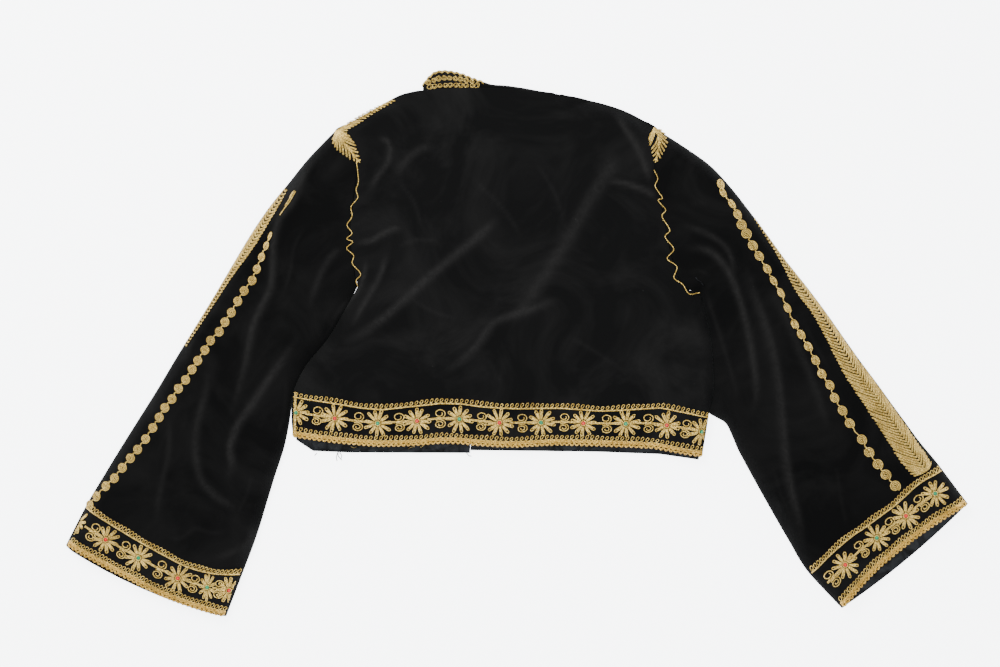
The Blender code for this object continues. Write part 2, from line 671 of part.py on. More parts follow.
def prism(tree, outline, centre, raise_):
    """Points and faces of a low dome over an outline; its underside is sunk in the strip that it lies on."""
    n = len(outline)
    outline, centre = np.array(outline), np.array(centre)
    lower = [(*p, height_on(tree, *p) - SINK) for f in DOME_RINGS for p in centre + f * (outline - centre)]
    top = [(x, y, z + SINK + raise_) for x, y, z in lower[:n]]
    middle = height_on(tree, *centre)
    points = top + lower + [(*centre, middle + raise_ * DOME_PEAK), (*centre, middle - SINK)]
    faces = []
    for i in range(n):
        j = (i + 1) % n
        faces += [(i, j, len(points) - 2), (i, n + i, n + j), (i, n + j, j)]
        for ring in range(1, len(DOME_RINGS)):
            a, b = n * ring, n * (ring + 1)
            faces += [(a + j, a + i, b + i), (a + j, b + i, b + j)]
        a = n * len(DOME_RINGS)
        faces.append((a + j, a + i, len(points) - 1))
    return points, faces


def flower_outline(centre, turn):
    """A ring of rounded petals, two radii for each petal."""
    outline = []
    for p in range(FLOWER_PETALS):
        for step, radius in PETAL:
            angle = turn + (p + step) * 2 * math.pi / FLOWER_PETALS
            reach = FLOWER_RADIUS * radius
            outline.append((centre[0] + reach * math.cos(angle), centre[1] + reach * math.sin(angle)))
    return outline


def ellipse(centre, radii, turn, count=8):
    angle = 2 * math.pi * np.arange(count) / count
    x, y = radii[0] * np.cos(angle), radii[1] * np.sin(angle)
    cos, sin = math.cos(turn), math.sin(turn)
    return np.column_stack([centre[0] + x * cos - y * sin, centre[1] + x * sin + y * cos])


def fuse(base, shapes):
    """Joins raised shapes to the strip that they lie on, and leaves one mesh."""
    points, faces = [], []
    for shape_points, shape_faces in shapes:
        faces += [tuple(i + len(points) for i in face) for face in shape_faces]
        points += shape_points
    raised = mesh_object(base.name + "_raised", points, faces, None)
    raised.hide_render = True
    raised.display_type = "WIRE"
    union = base.modifiers.new("raised", "BOOLEAN")
    union.operation = "UNION"
    union.object = raised
    union.solver = "EXACT"
    union.use_self = True
    bpy.data.collections[COLLECTION].objects.unlink(raised)
    bpy.data.collections[HELPERS].objects.link(raised)


def band_shapes(strip, middle_line, seats):
    """Flowers on a band at shares of its middle line, with a pair of scrolls before each."""
    tree = tree_of(strip)
    shapes = []
    scroll_raise = FLOWER_RAISE * SCROLL_RAISE_SHARE
    for n, seat in enumerate(seats):
        here, ahead, before = along(middle_line, [seat, seat + 0.005, seat - (seats[1] - seats[0]) / 2])
        turn = math.atan2(ahead[1] - here[1], ahead[0] - here[0])
        shapes.append(prism(tree, flower_outline(here, turn + ALTERNATE_TURN * (n % 2)), here, FLOWER_RAISE))
        for side in (-1, 1):
            place = before + SCROLL_OFFSET * side * np.array([-math.sin(turn), math.cos(turn)])
            shapes.append(prism(tree, ellipse(place, SCROLL_RADII, turn), place, scroll_raise))
    return shapes


def hem_band(grid, gold):
    """The flower band along the back's hem, from the back's own points."""
    base = grid[:BAND_ROWS]
    obj = strip_on("hem_band", base, gold)
    middle = (base[0, :, :2] + base[-1, :, :2]) / 2
    fuse(obj, band_shapes(obj, middle, HEM_FLOWERS))


def sleeve_top(rings):
    return rings[:, 1 : rings.shape[1] - FLOOR_POINTS - 1]


def cuff_band(which, rings, gold):
    base = sleeve_top(rings)[2 * BAND_SECTION :]
    obj = strip_on(f"cuff_band_{which}", base, gold)
    middle = (base[0, :, :2] + base[-1, :, :2]) / 2
    fuse(obj, band_shapes(obj, middle, CUFF_FLOWERS[which]))


def chain(which, rings, gold):
    """A line of spiral discs down the sleeve on a narrow strip."""
    first, last = (round(2 * k) for k in CHAIN_SECTIONS[which])
    base = sleeve_top(rings)[first:last, 3:5]
    obj = strip_on(f"disc_chain_{which}", base, gold)
    tree = tree_of(obj)
    middle = base[:, :, :2].mean(axis=1)
    count = int(np.linalg.norm(np.diff(middle, axis=0), axis=1).sum() / DISC_PITCH[which])
    shapes = []
    for i in range(count):
        here = along(middle, [(i + 0.5) / count])[0]
        shapes.append(prism(tree, ellipse(here, (DISC_RADIUS, DISC_RADIUS), 0), here, DISC_RAISE))
    fuse(obj, shapes)


def feather(which, rings, gold):
    """The feather panel along the sleeve's outer edge, narrow at its upper end."""
    sections = [k for k, _ in FEATHER[which]]
    first, last = round(2 * sections[0]), round(2 * sections[-1])
    base = sleeve_top(rings)[first : last + 1, :3]
    strip_on(f"feather_{which}", base, gold)


# The leaf over each armhole seam at the shoulder: its two ends
LEAF_ENDS = {"left": ((-228, 260), (-199, 228)), "right": ((176, 261), (173, 227))}
LEAF_WIDTHS = (2.0, 12.0, 17.0, 18.0, 15.0, 9.0, 2.0)
LEAF_GAP = 0.55


def leaf(which, gold):
    """The leaf at the shoulder's point, which lies over the seam on both back and sleeve."""
    trees = [tree_of(bpy.data.objects[name]) for name in ("back", f"sleeve_{which}_upper")]
    start, end = np.array(LEAF_ENDS[which], float)
    side = np.array([start[1] - end[1], end[0] - start[0]]) / np.linalg.norm(end - start)
    grid = []
    for share, width in zip(np.linspace(0, 1, len(LEAF_WIDTHS)), LEAF_WIDTHS):
        middle = start + share * (end - start)
        places = [middle + side * width * across for across in (-0.5, -0.25, 0.0, 0.25, 0.5)]
        grid.append([(*p, max(height_on(tree, *p) for tree in trees)) for p in places])
    base = np.array(grid)
    raised = base + (0, 0, LEAF_GAP)
    wall(f"shoulder_leaf_{which}", raised + (0, 0, TRIM_THICKNESS), raised, gold)


def main():
    for old in list(bpy.data.objects):
        bpy.data.objects.remove(old)
    for name in (COLLECTION, HELPERS):
        collection = bpy.data.collections.new(name)
        bpy.context.scene.collection.children.link(collection)
    bpy.data.collections[HELPERS].hide_render = True
    velvet = material("black velvet", (0.008, 0.008, 0.009), 0.9)
    lining = material("black satin lining", (0.02, 0.021, 0.023), 0.45)
    gold = material("couched gold cord", (0.55, 0.39, 0.13), 0.45, 0.6)
    grid = back_grid()
    wall("back", grid, below(grid), velvet)
    front("left", lining)
    front("right", lining)
    collar(velvet)
    hem_band(grid, gold)
    for which in ("left", "right"):
        front_collar(which, velvet)
        rings = sleeve(which, velvet)
        cuff_band(which, rings, gold)
        chain(which, rings, gold)
        feather(which, rings, gold)
        leaf(which, gold)


main()
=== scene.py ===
"""The looks of a cropped matador jacket, laid flat on its front: black velvet with couched gold embroidery.

Sizes are in millimetres in the jacket's frame, +Z up and +Y towards the collar, with the same seam lines,
sections and folds as the part's source. Left is the wearer's left.
"""

import math
import bmesh
import bpy
import numpy as np
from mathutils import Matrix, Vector
from mathutils.bvhtree import BVHTree


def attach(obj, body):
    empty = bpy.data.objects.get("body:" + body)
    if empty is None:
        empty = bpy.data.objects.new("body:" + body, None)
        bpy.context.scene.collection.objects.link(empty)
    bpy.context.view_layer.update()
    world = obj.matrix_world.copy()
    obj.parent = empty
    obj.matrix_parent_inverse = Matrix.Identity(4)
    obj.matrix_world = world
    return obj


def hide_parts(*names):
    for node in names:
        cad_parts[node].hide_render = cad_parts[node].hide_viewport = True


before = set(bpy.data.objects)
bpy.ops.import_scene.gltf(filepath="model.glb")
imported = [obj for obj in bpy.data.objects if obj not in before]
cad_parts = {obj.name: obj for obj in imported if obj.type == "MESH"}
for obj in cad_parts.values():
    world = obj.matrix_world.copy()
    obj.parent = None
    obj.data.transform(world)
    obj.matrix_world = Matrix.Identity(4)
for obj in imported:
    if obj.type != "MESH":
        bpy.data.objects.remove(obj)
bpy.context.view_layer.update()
MM = 0.001

# Sign that mirrors the left side's seams and ornament for the right
SIDE_SIGN = {"left": 1, "right": -1}

# Cloth
WALL = 2.2  # velvet with its lining
SEAM_GAP = 0.3
SEAM_CLEARANCE = 0.25  # on each side of a seam that curves in height too
EDGE_HEIGHT = WALL + SEAM_GAP + WALL  # top of the cloth where the two layers meet
NECK_HEIGHT = 8.2  # the back is propped up there by the folded collar
BODY_HEIGHT = 12.2
SLEEVE_HEIGHT = 14.6
HEM_DROP = 1.8
HEM_DROP_REACH = 60.0
EDGE_ROLL = 17.0  # how far in from an edge the cloth reaches its full height
NECK_REACH = (20.0, 50.0)  # how far from the neck its extra height starts and ends fading
BODY_MIDDLE = -20.0  # X of the back's middle line
BODY_HALF_WIDTH = 262.0
SLEEVE_RISE = (170.0, 260.0)  # how far from the middle line the cloth rises to the sleeve's height

# Seam lines, as points to draw a smooth curve through, from the hem up
SIDE_LEFT = ((-281, -117), (-283, -90), (-280, -60), (-265, -28), (-234, 11), (-200, 71))
SIDE_RIGHT = ((232, -142), (241, -86), (247, -56), (245, -8), (240, 23), (229, 64))
ARMHOLE_LEFT = (
    (-200, 71), (-205, 102), (-209, 136), (-206, 169), (-201, 204), (-200, 227), (-212, 246), (-229, 266),
)
ARMHOLE_RIGHT = (
    (229, 64), (213, 68), (201, 84), (190, 123), (182, 167), (174, 204), (172, 227), (174, 246), (178, 267),
)
SHOULDER_LEFT = ((-229, 266), (-190, 288), (-154, 308), (-124, 317))
SHOULDER_RIGHT = ((178, 267), (144, 288), (104, 302), (54, 312))
NECK_BACK = ((-124, 317), (-80, 319), (-34, 320), (10, 317), (54, 312))
NECK_FRONT_LEFT = ((-124, 317), (-116, 285), (-90, 256), (-40, 240))
NECK_FRONT_RIGHT = ((54, 312), (46, 284), (18, 256), (-34, 240))

# Where the band's top edge crosses the side seams, as a share of the seam's length
BAND_SHARE = 0.27

# The hem's and the band's rise above a straight line, at shares of the way from left to right
HEM_WAVE = (
    # share, hem, band top
    (0.00, 0.0, 0.0),
    (0.10, -4.5, -5.5),
    (0.20, -7.0, -11.5),
    (0.29, -4.0, -4.0),
    (0.38, 2.5, 3.3),
    (0.46, 0.4, -0.7),
    (0.53, 0.0, -1.0),
    (0.64, 6.0, 2.8),
    (0.75, 7.5, 1.5),
    (0.88, 8.0, 9.5),
    (0.95, 2.5, 4.5),
    (1.00, 0.0, 0.0),
)

# Sleeves: the outer edge and, past the body, the inner edge, section by section to the cuff
LEFT_OUTER = (
    (-229, 266), (-261, 233), (-286, 202), (-311, 171), (-334, 137), (-358, 97), (-381, 58), (-405, 19),
    (-429, -20), (-451, -57), (-473, -92), (-495, -127), (-517, -163), (-540, -202), (-566, -253),
)
LEFT_INNER_FREE = (
    (-285, -95), (-292, -130), (-303, -164), (-314, -200), (-323, -230),
    (-332, -256), (-342, -282), (-365, -342),
)
RIGHT_OUTER = (
    (178, 267), (243, 223), (292, 166), (334, 109), (364, 71), (388, 39), (409, 9), (431, -22),
    (452, -50), (470, -75), (487, -98), (503, -120), (517, -137), (530, -153), (566, -201),
)
RIGHT_INNER_FREE = (
    (262, -100), (277, -132), (293, -162), (309, -191), (326, -221), (344, -252), (365, -286), (408, -332),
)

# How far the cuff's upper and lower edges bulge past a straight line
CUFF_BULGE = {"left": (9.0, 11.0), "right": (-11.0, 5.0)}
SECTIONS = 15
SECTIONS_ON_SEAM = 7
BULGE_SECTIONS = (9, 14)  # over which the cuff's bulge grows to its full size
BAND_SECTION = 13  # the cuff band runs from here to the last section

# Folds of the upper layer, and how much of one is left at a seam or an edge
FOLD_LEFT_AT_EDGE = 0.15
FOLD_TAPER = 0.25  # share of a fold's length over which each of its ends fades
FOLDS = (
    # height, softness left of the line, softness right of it, the line
    (3.4, 14, 17, ((-215, -2), (-165, 34), (-100, 92), (-46, 136), (-21, 161))),
    (3.0, 12, 16, ((-100, -47), (-52, -4), (-29, 27), (18, 43), (60, 59))),
    (2.6, 22, 26, ((-21, 11), (35, 86), (104, 201), (131, 242))),
    (3.6, 9, 12, ((-206, 126), (-184, 128), (-170, 136), (-155, 143), (-139, 142))),
    (3.2, 9, 8, ((-189, 109), (-191, 86), (-201, 64), (-221, 43), (-240, 11))),
    (3.2, 9, 11, ((-161, 117), (-171, 84), (-188, 54), (-209, 17))),
    (3.0, 10, 12, ((-179, 257), (-161, 252), (-160, 229), (-175, 207), (-189, 184))),
    (2.4, 14, 14, ((-101, 251), (-131, 236), (-154, 209))),
    (3.2, 16, 10, ((119, 294), (134, 269), (151, 241), (160, 219), (166, 197))),
    (3.6, 10, 10, ((111, 204), (136, 199), (159, 192), (178, 179))),
    (3.6, 10, 10, ((199, 151), (224, 142), (244, 133), (261, 119), (269, 99), (270, 79))),
    (5.4, 13, 12, (
        (201, 114), (224, 119), (244, 112), (260, 94), (271, 72),
        (283, 34), (291, -3), (297, -41), (298, -68), (291, -102),
    )),
    (4.6, 12, 20, (
        (281, 114), (294, 69), (312, 19), (324, -28), (330, -76), (335, -129),
        (342, -179), (354, -228), (360, -273),
    )),
    (3.0, 13, 16, ((310, 79), (335, 34), (355, -13), (374, -61), (394, -123))),
    (5.6, 15, 11, (
        (-240, 250), (-259, 224), (-272, 197), (-281, 177), (-297, 156), (-304, 129), (-305, 98),
        (-308, 69), (-321, 42), (-331, 16), (-338, -20), (-352, -71), (-365, -104),
    )),
    (5.4, 15, 13, (
        (-268, 17), (-290, -17), (-312, -48), (-331, -77), (-349, -103), (-358, -129),
        (-356, -152), (-364, -178),
    )),
    (3.8, 14, 14, (
        (-381, -11), (-388, -58), (-399, -102), (-401, -136), (-395, -167),
        (-378, -189), (-358, -202), (-348, -212),
    )),
    (2.4, 11, 11, ((-435, -83), (-434, -133), (-444, -177), (-452, -229))),
    (3.2, 12, 12, ((-216, 122), (-234, 106), (-248, 79), (-262, 39))),
    (2.8, 11, 13, ((-331, -221), (-334, -246), (-356, -261), (-382, -271))),
)

# Grid of the back: rows as shares of side seam, armhole and shoulder, and columns
SIDE_ROWS = (
    0.0, 0.09, 0.18, 0.27, 0.331, 0.392, 0.453, 0.513, 0.574, 0.635, 0.696, 0.757, 0.818, 0.878, 0.939, 1.0,
)
ARMHOLE_ROWS = (0.07, 0.15, 0.25, 0.37, 0.5, 0.63, 0.75, 0.85, 0.93, 1.0)
SHOULDER_ROWS = (0.2, 0.4, 0.6, 0.8, 1.0)
BAND_ROWS = SIDE_ROWS.index(BAND_SHARE) + 1
BACK_EDGE_COLUMNS = (0.0, 0.012, 0.034)
BACK_MIDDLE_COLUMNS = 19
WAVE_FADES = (BAND_SHARE, BAND_SHARE + 0.5)  # rows over which the band's wave fades into straight rows
FOLD_EDGE_HEIGHT = 2.5  # of the middle of the cloth's roll at a sleeve's edge
FLOOR_INSET = 2.6
LEAST_SLANT = 0.18
MOST_MITRE = 2.5

# Sections over which the armhole's curve fades along the sleeve, and where across it that grows shorter
BOW_REACH = (0.5, 3.5)
BOW_SHORTENS = (0.5, 0.9)


def spline(points, per_span=10):
    """A smooth curve through the points, as closely spaced points."""
    p = np.array(points, float)
    p = np.concatenate([[2 * p[0] - p[1]], p, [2 * p[-1] - p[-2]]])
    t = np.linspace(0, 1, per_span, endpoint=False).reshape(-1, *[1] * (p.ndim - 1))
    spans = []
    for a, b, c, d in zip(p, p[1:], p[2:], p[3:]):
        spans.append(
            0.5 * (2 * b + (c - a) * t + (2 * a - 5 * b + 4 * c - d) * t**2 + (3 * b - a - 3 * c + d) * t**3)
        )
    return np.concatenate(spans + [p[-2:-1]])


def along(curve, shares):
    """Points at shares of the length of a curve of closely spaced points."""
    steps = np.linalg.norm(np.diff(curve, axis=0), axis=1)
    length = np.concatenate([[0], np.cumsum(steps)])
    at = np.asarray(shares, float) * length[-1]
    return np.stack([np.interp(at, length, curve[:, k]) for k in range(curve.shape[1])], axis=-1)


def ease(x):
    x = np.clip(x, 0, 1)
    return x * x * (3 - 2 * x)


def ramp(x, start, end):
    """A smooth rise from 0 at the start to 1 at the end."""
    return ease((x - start) / (end - start))


def distance_to(curve, xy):
    """Signed distance from a curve (positive to its left) and the share of its length, for points xy."""
    a, b = curve[:-1], curve[1:]
    d = b - a
    reach = np.full(len(xy), np.inf)
    side = np.ones(len(xy))
    share = np.zeros(len(xy))
    for i in range(len(a)):
        rel = xy - a[i]
        t = np.clip(rel @ d[i] / (d[i] @ d[i]), 0, 1)
        off = rel - t[:, None] * d[i]
        far = np.hypot(off[:, 0], off[:, 1])
        nearer = far < reach
        reach[nearer] = far[nearer]
        side[nearer] = np.sign(d[i, 0] * rel[nearer, 1] - d[i, 1] * rel[nearer, 0])
        share[nearer] = (i + t[nearer]) / len(a)
    return reach * side, share


def inner_edge(side, free):
    """A sleeve's inner edge: down the side seam to the band, then clear of the body."""
    return [tuple(p) for p in along(spline(side), np.linspace(1, BAND_SHARE, SECTIONS_ON_SEAM))] + list(free)


SLEEVES = {
    "left": {"outer": LEFT_OUTER, "inner": inner_edge(SIDE_LEFT, LEFT_INNER_FREE), "armhole": ARMHOLE_LEFT},
    "right": {
        "outer": RIGHT_OUTER,
        "inner": inner_edge(SIDE_RIGHT, RIGHT_INNER_FREE),
        "armhole": ARMHOLE_RIGHT,
    },
}

# The lines at which the upper layer comes down to the lower one
EDGES = [
    spline(points, 4)
    for points in (
        SIDE_LEFT, SIDE_RIGHT, SHOULDER_LEFT, SHOULDER_RIGHT,
        LEFT_OUTER, RIGHT_OUTER, SLEEVES["left"]["inner"], SLEEVES["right"]["inner"],
    )
]
NECK_EDGE = spline(NECK_BACK, 4)
HEM_LINE = spline((SIDE_LEFT[0], (0, -128), SIDE_RIGHT[0]), 6)
FOLD_LINES = [(height, left, right, spline(line, 4)) for height, left, right, line in FOLDS]


def offset_line(points, distance):
    """An open line of points moved to its left by a distance, with mitred corners."""
    points = np.asarray(points, float)
    run = np.diff(points, axis=0)
    run /= np.linalg.norm(run, axis=1)[:, None]
    normal = np.column_stack([-run[:, 1], run[:, 0]])
    before = np.vstack([normal[:1], normal])
    after = np.vstack([normal, normal[-1:]])
    mitre = (before + after) / np.maximum(1 + (before * after).sum(axis=1), 1 / MOST_MITRE)[:, None]
    return points + distance * mitre


def fold_height(xy):
    total = np.zeros(len(xy))
    for height, left, right, line in FOLD_LINES:
        far, share = distance_to(line, xy)
        softness = np.where(far > 0, left, right)
        taper = ease(share / FOLD_TAPER) * ease((1 - share) / FOLD_TAPER)
        total += height * taper * np.exp(-((far / softness) ** 2))
    return total


def cloth_height(xy):
    """Height of the upper layer's outside above the surface that the jacket lies on."""
    xy = np.asarray(xy, float).reshape(-1, 2)
    edge = np.min([np.abs(distance_to(line, xy)[0]) for line in EDGES], axis=0)
    neck = np.abs(distance_to(NECK_EDGE, xy)[0])
    hem = np.abs(distance_to(HEM_LINE, xy)[0])
    off = np.abs(xy[:, 0] - BODY_MIDDLE)
    plateau = BODY_HEIGHT + (SLEEVE_HEIGHT - BODY_HEIGHT) * ramp(off, *SLEEVE_RISE)
    plateau -= HEM_DROP * (1 - ease(hem / HEM_DROP_REACH)) * (off < BODY_HALF_WIDTH)
    rise = np.sin(np.clip(edge / EDGE_ROLL, 0, 1) * math.pi / 2)
    z = EDGE_HEIGHT + (plateau - EDGE_HEIGHT) * rise
    propped = NECK_HEIGHT + (plateau - NECK_HEIGHT) * np.sin(np.clip(neck / EDGE_ROLL, 0, 1) * math.pi / 2)
    z = np.maximum(z, propped * (1 - ramp(neck, *NECK_REACH)))
    return z + fold_height(xy) * (FOLD_LEFT_AT_EDGE + (1 - FOLD_LEFT_AT_EDGE) * rise)


def with_height(xy):
    shape = xy.shape[:-1]
    return np.concatenate([xy, cloth_height(xy).reshape(*shape, 1)], axis=-1)


def normals_of(grid):
    """Upward unit normals of a grid of points."""
    du = np.gradient(grid, axis=0)
    dv = np.gradient(grid, axis=1)
    n = np.cross(du, dv)
    n /= np.linalg.norm(n, axis=-1, keepdims=True)
    return n * np.sign(n[..., 2:3])


def body_edge(which, side_rows, armhole_rows, shoulder_rows):
    """The edge of a body panel from hem to neck, moved in by the seam's clearance."""
    curves = {
        "left": (SIDE_LEFT, ARMHOLE_LEFT, SHOULDER_LEFT),
        "right": (SIDE_RIGHT, ARMHOLE_RIGHT, SHOULDER_RIGHT),
    }[which]
    rows = (side_rows, armhole_rows, shoulder_rows)
    line = np.vstack([along(spline(curve), shares) for curve, shares in zip(curves, rows)])
    return offset_line(line, -SEAM_CLEARANCE * SIDE_SIGN[which])


def back_grid():
    """Plan and height of the back's outside, rows from hem to neck, columns from left to right."""
    shares = list(SIDE_ROWS) + [1.0] * (len(ARMHOLE_ROWS) + len(SHOULDER_ROWS))
    edges = [body_edge(which, SIDE_ROWS, ARMHOLE_ROWS, SHOULDER_ROWS) for which in ("left", "right")]
    edge = list(BACK_EDGE_COLUMNS)
    middle = np.linspace(0.07, 0.93, BACK_MIDDLE_COLUMNS)
    u = np.array(edge + list(middle) + [1 - x for x in reversed(edge)])
    wave = np.array(HEM_WAVE)
    hem_wave = np.interp(u, wave[:, 0], wave[:, 1])
    band_wave = np.interp(u, wave[:, 0], wave[:, 2])
    grid = []
    for q, left, right in zip(shares, *edges):
        row = left + u[:, None] * (right - left)
        up = min(q / BAND_SHARE, 1)
        lift = (1 - up) * hem_wave + up * band_wave
        row[:, 1] += lift * (1 - ramp(q, *WAVE_FADES))
        grid.append(row)
    top = along(spline(NECK_BACK), u)
    grid[-1][:, 1] = top[:, 1] - SEAM_CLEARANCE
    return with_height(np.array(grid))


def slant(direction, line):
    """Sines of the angles at which sections cross a line that has a point on each of them."""
    run = np.gradient(line, axis=0)
    run /= np.linalg.norm(run, axis=1)[:, None]
    return np.clip(np.abs(direction[:, 0] * run[:, 1] - direction[:, 1] * run[:, 0]), LEAST_SLANT, 1)


def bow(k, w):
    """What is left, at a section, of the armhole seam's curve away from a straight line."""
    least, most = BOW_REACH
    return 1 - ease(k / (least + (most - least) * (1 - ramp(w, *BOW_SHORTENS))))


def sleeve_plan(which, k, outer, inner, w, upper=True):
    """Plan positions across one section at shares w, bent to the armhole and to the cuff at its two ends."""
    points = outer + w[:, None] * (inner - outer)
    armhole = spline(SLEEVES[which]["armhole"])
    seam = along(armhole, 1 - w)
    chord = armhole[-1] + w[:, None] * (armhole[0] - armhole[-1])
    points += (seam - chord) * bow(k, w)[:, None]
    bulge = CUFF_BULGE[which][0 if upper else 1]
    down = np.array([inner[1] - outer[1], outer[0] - inner[0]])
    down = down / np.linalg.norm(down) * SIDE_SIGN[which]
    points += down * (4 * w * (1 - w) * bulge * ramp(k, *BULGE_SECTIONS))[:, None]
    return points


FRONT_HEM = {
    "left": ((-59, -137.5), (-209, -137), (-256, -135), (-277, -121)),
    "right": ((-54, -134), (100, -136), (180, -139), (228, -146)),
}

# The collar across the back of the neck, as it is folded there
COLLAR_HEIGHT = 27.0
COLLAR_CLEARANCE = 0.9
COLLAR_TURN = 1.6  # half the height of its fold
COLLAR_LAYER_DROP = 2.5  # from the upper to the lower fold
COLLAR_BACK = (
    # share of the neck edge, how far the band shows beyond it, height of its upper fold's middle
    (0.035, 6.0, 3.7),
    (0.075, 14.5, 5.6),
    (0.12, 20.4, 6.1),
    (0.18, 21.3, 6.1),
    (0.25, 19.5, 6.1),
    (0.32, 16.0, 6.1),
    (0.38, 11.0, 6.1),
    (0.45, 6.5, 6.1),
    (0.52, 2.5, 6.1),
    (0.62, 2.0, 6.1),
    (0.74, 2.0, 6.1),
    (0.86, 2.0, 6.1),
    (0.96, 2.0, 6.1),
)

# Its height along each front's neckline, less near the shoulder
FRONT_COLLAR = (
    # share of the neckline, height
    (0.28, 15.0),
    (0.44, 20.0),
    (0.62, 23.0),
    (0.80, 23.0),
    (1.00, 23.0),
)
FRONT_COLLAR_POINTS = 4


def folded_section(base, shown, upper):
    """Five points up the band: outwards for the length shown, then folded back under itself."""
    lower = upper - COLLAR_LAYER_DROP
    tail = COLLAR_HEIGHT - shown
    turn = min(COLLAR_TURN, shown / 2)
    stops = [(0.0, upper), (shown - turn, upper), (shown, (upper + lower) / 2), (shown - turn, lower)]
    stops.append((shown - tail, lower))
    return [(base[0], base[1] + out, z) for out, z in stops]


# Shells: how thick they are, and how finely they are cut
SHELL = 1.5
BACK_ROWS_PER_SPAN = 6
BACK_COLUMNS_PER_SPAN = 9
SLEEVE_ROWS_PER_SPAN = 7
TOP_SPACING = 2.4
FLOOR_SPACING = 6.0
ROLL_STEPS = (0.25, 0.5, 0.75)
SEAM_GROOVE = (0.9, 2.6)  # depth and half width of the dip along an armhole seam

# Creases too small for the solids: height, softness left and right of the line, the line
CREASES = (
    (1.1, 6, 8, ((-150, 205), (-128, 176), (-118, 140))),
    (1.0, 7, 9, ((-60, 210), (-20, 172), (10, 128))),
    (0.9, 8, 6, ((20, 230), (46, 190), (60, 150))),
    (1.2, 5, 9, ((-152, 120), (-133, 128), (-112, 130), (-92, 124))),
    (1.0, 6, 8, ((-136, 60), (-105, 40), (-70, 30))),
    (0.9, 9, 7, ((62, 10), (100, -12), (140, -40))),
    (1.2, 6, 6, ((214, 84), (226, 91), (243, 84))),
    (1.6, 8, 7, ((234, 76), (240, 51), (251, 17), (259, -8), (269, -43), (278, -77))),
    (1.4, 8, 9, ((411, -96), (429, -121), (454, -152), (470, -171))),
    (1.3, 7, 9, ((-449, -241), (-421, -243), (-402, -231), (-381, -236), (-356, -234))),
    (1.4, 8, 8, ((-288, -36), (-290, -83), (-301, -121))),
    (1.3, 7, 7, ((-209, 54), (-220, 39), (-234, 17), (-244, 2))),
    (1.2, 6, 8, ((-262, 150), (-278, 120), (-284, 84), (-296, 50))),
    (1.0, 6, 6, ((-402, 20), (-412, -20), (-428, -62))),
    (1.1, 7, 6, ((-330, -160), (-338, -190), (-352, -216))),
    (1.1, 6, 8, ((356, 30), (372, 0), (392, -36))),
    (1.0, 7, 7, ((318, -150), (330, -190), (346, -226))),
    (0.9, 6, 6, ((398, -150), (404, -190), (412, -232))),
    (1.0, 8, 8, ((214, 172), (228, 176), (240, 170))),
)
CREASE_LINES = [(height, left, right, spline(line, 4)) for height, left, right, line in CREASES]


def crease_height(xy, lines, spread=1.0):
    """The sum of ridges along lines, each with its own softness on its two sides, fading at its ends."""
    total = np.zeros(len(xy))
    for height, left, right, line in lines:
        lo, hi = line.min(axis=0) - 3 * max(left, right), line.max(axis=0) + 3 * max(left, right)
        near = np.flatnonzero(((xy > lo) & (xy < hi)).all(axis=1))
        if len(near):
            far, share = distance_to(line, xy[near])
            softness = np.where(far > 0, left, right) * spread
            taper = ease(share / FOLD_TAPER) * ease((1 - share) / FOLD_TAPER)
            total[near] += height * taper * np.exp(-((far / softness) ** 2))
    return total


ARMHOLE_LINES = [spline(ARMHOLE_LEFT, 3), spline(ARMHOLE_RIGHT, 3)]


def groove(xy):
    """The dip of the cloth along the armhole seams."""
    depth, half = SEAM_GROOVE
    far = np.min([np.abs(distance_to(line, xy)[0]) for line in ARMHOLE_LINES], axis=0)
    return -depth * np.exp(-((far / half) ** 2))


def outside_height(xy):
    """The upper layer's height with all of its creases, for any array of plan positions."""
    flat = np.asarray(xy, float).reshape(-1, 2)
    z = cloth_height(flat) + crease_height(flat, CREASE_LINES) + groove(flat)
    return z.reshape(xy.shape[:-1])


def refine(grid, rows, columns):
    """The grid with smooth curves through its points, each span cut into several."""
    fine = spline(grid, rows)
    return np.swapaxes(spline(np.swapaxes(fine, 0, 1), columns), 0, 1)


def raised_grid(plan):
    return np.concatenate([plan, outside_height(plan)[..., None]], axis=-1)


def outward(grid, tube=False):
    """Unit normals of a grid of points, of a tube's ring too, that point out of the cloth."""
    du = np.gradient(grid, axis=0)
    if tube:
        dv = np.roll(grid, -1, axis=1) - np.roll(grid, 1, axis=1)
    else:
        dv = np.gradient(grid, axis=1)
    n = np.cross(du, dv)
    n /= np.maximum(np.linalg.norm(n, axis=-1, keepdims=True), 1e-9)
    return n


def new_piece(name, points, faces, finishes, finish_of=None, uv=None):
    """A smooth-shaded object that rides on the jacket, from points in millimetres."""
    mesh = bpy.data.meshes.new(name)
    mesh.from_pydata((np.asarray(points) * MM).tolist(), [], faces)
    for finish in finishes:
        mesh.materials.append(finish)
    if finish_of is not None:
        mesh.polygons.foreach_set("material_index", finish_of)
    if uv is not None:
        layer = mesh.uv_layers.new(name="laid")
        layer.data.foreach_set("uv", np.asarray(uv, np.float32).ravel())
    mesh.shade_smooth()
    mesh.update()
    obj = bpy.data.objects.new(name, mesh)
    bpy.context.scene.collection.objects.link(obj)
    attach(obj, "root")
    return obj


def face_outwards(obj):
    bm = bmesh.new()
    bm.from_mesh(obj.data)
    bmesh.ops.recalc_face_normals(bm, faces=bm.faces)
    bm.to_mesh(obj.data)
    bm.free()


def grid_quads(rows, columns, tube, start=0):
    """Quads between neighbouring points of a grid, as an array."""
    i, j = np.meshgrid(np.arange(rows - 1), np.arange(columns if tube else columns - 1), indexing="ij")
    k = (j + 1) % columns
    here, after = i * columns, (i + 1) * columns
    quads = np.stack([here + j, here + k, after + k, after + j], axis=-1)
    return quads.reshape(-1, 4) + start


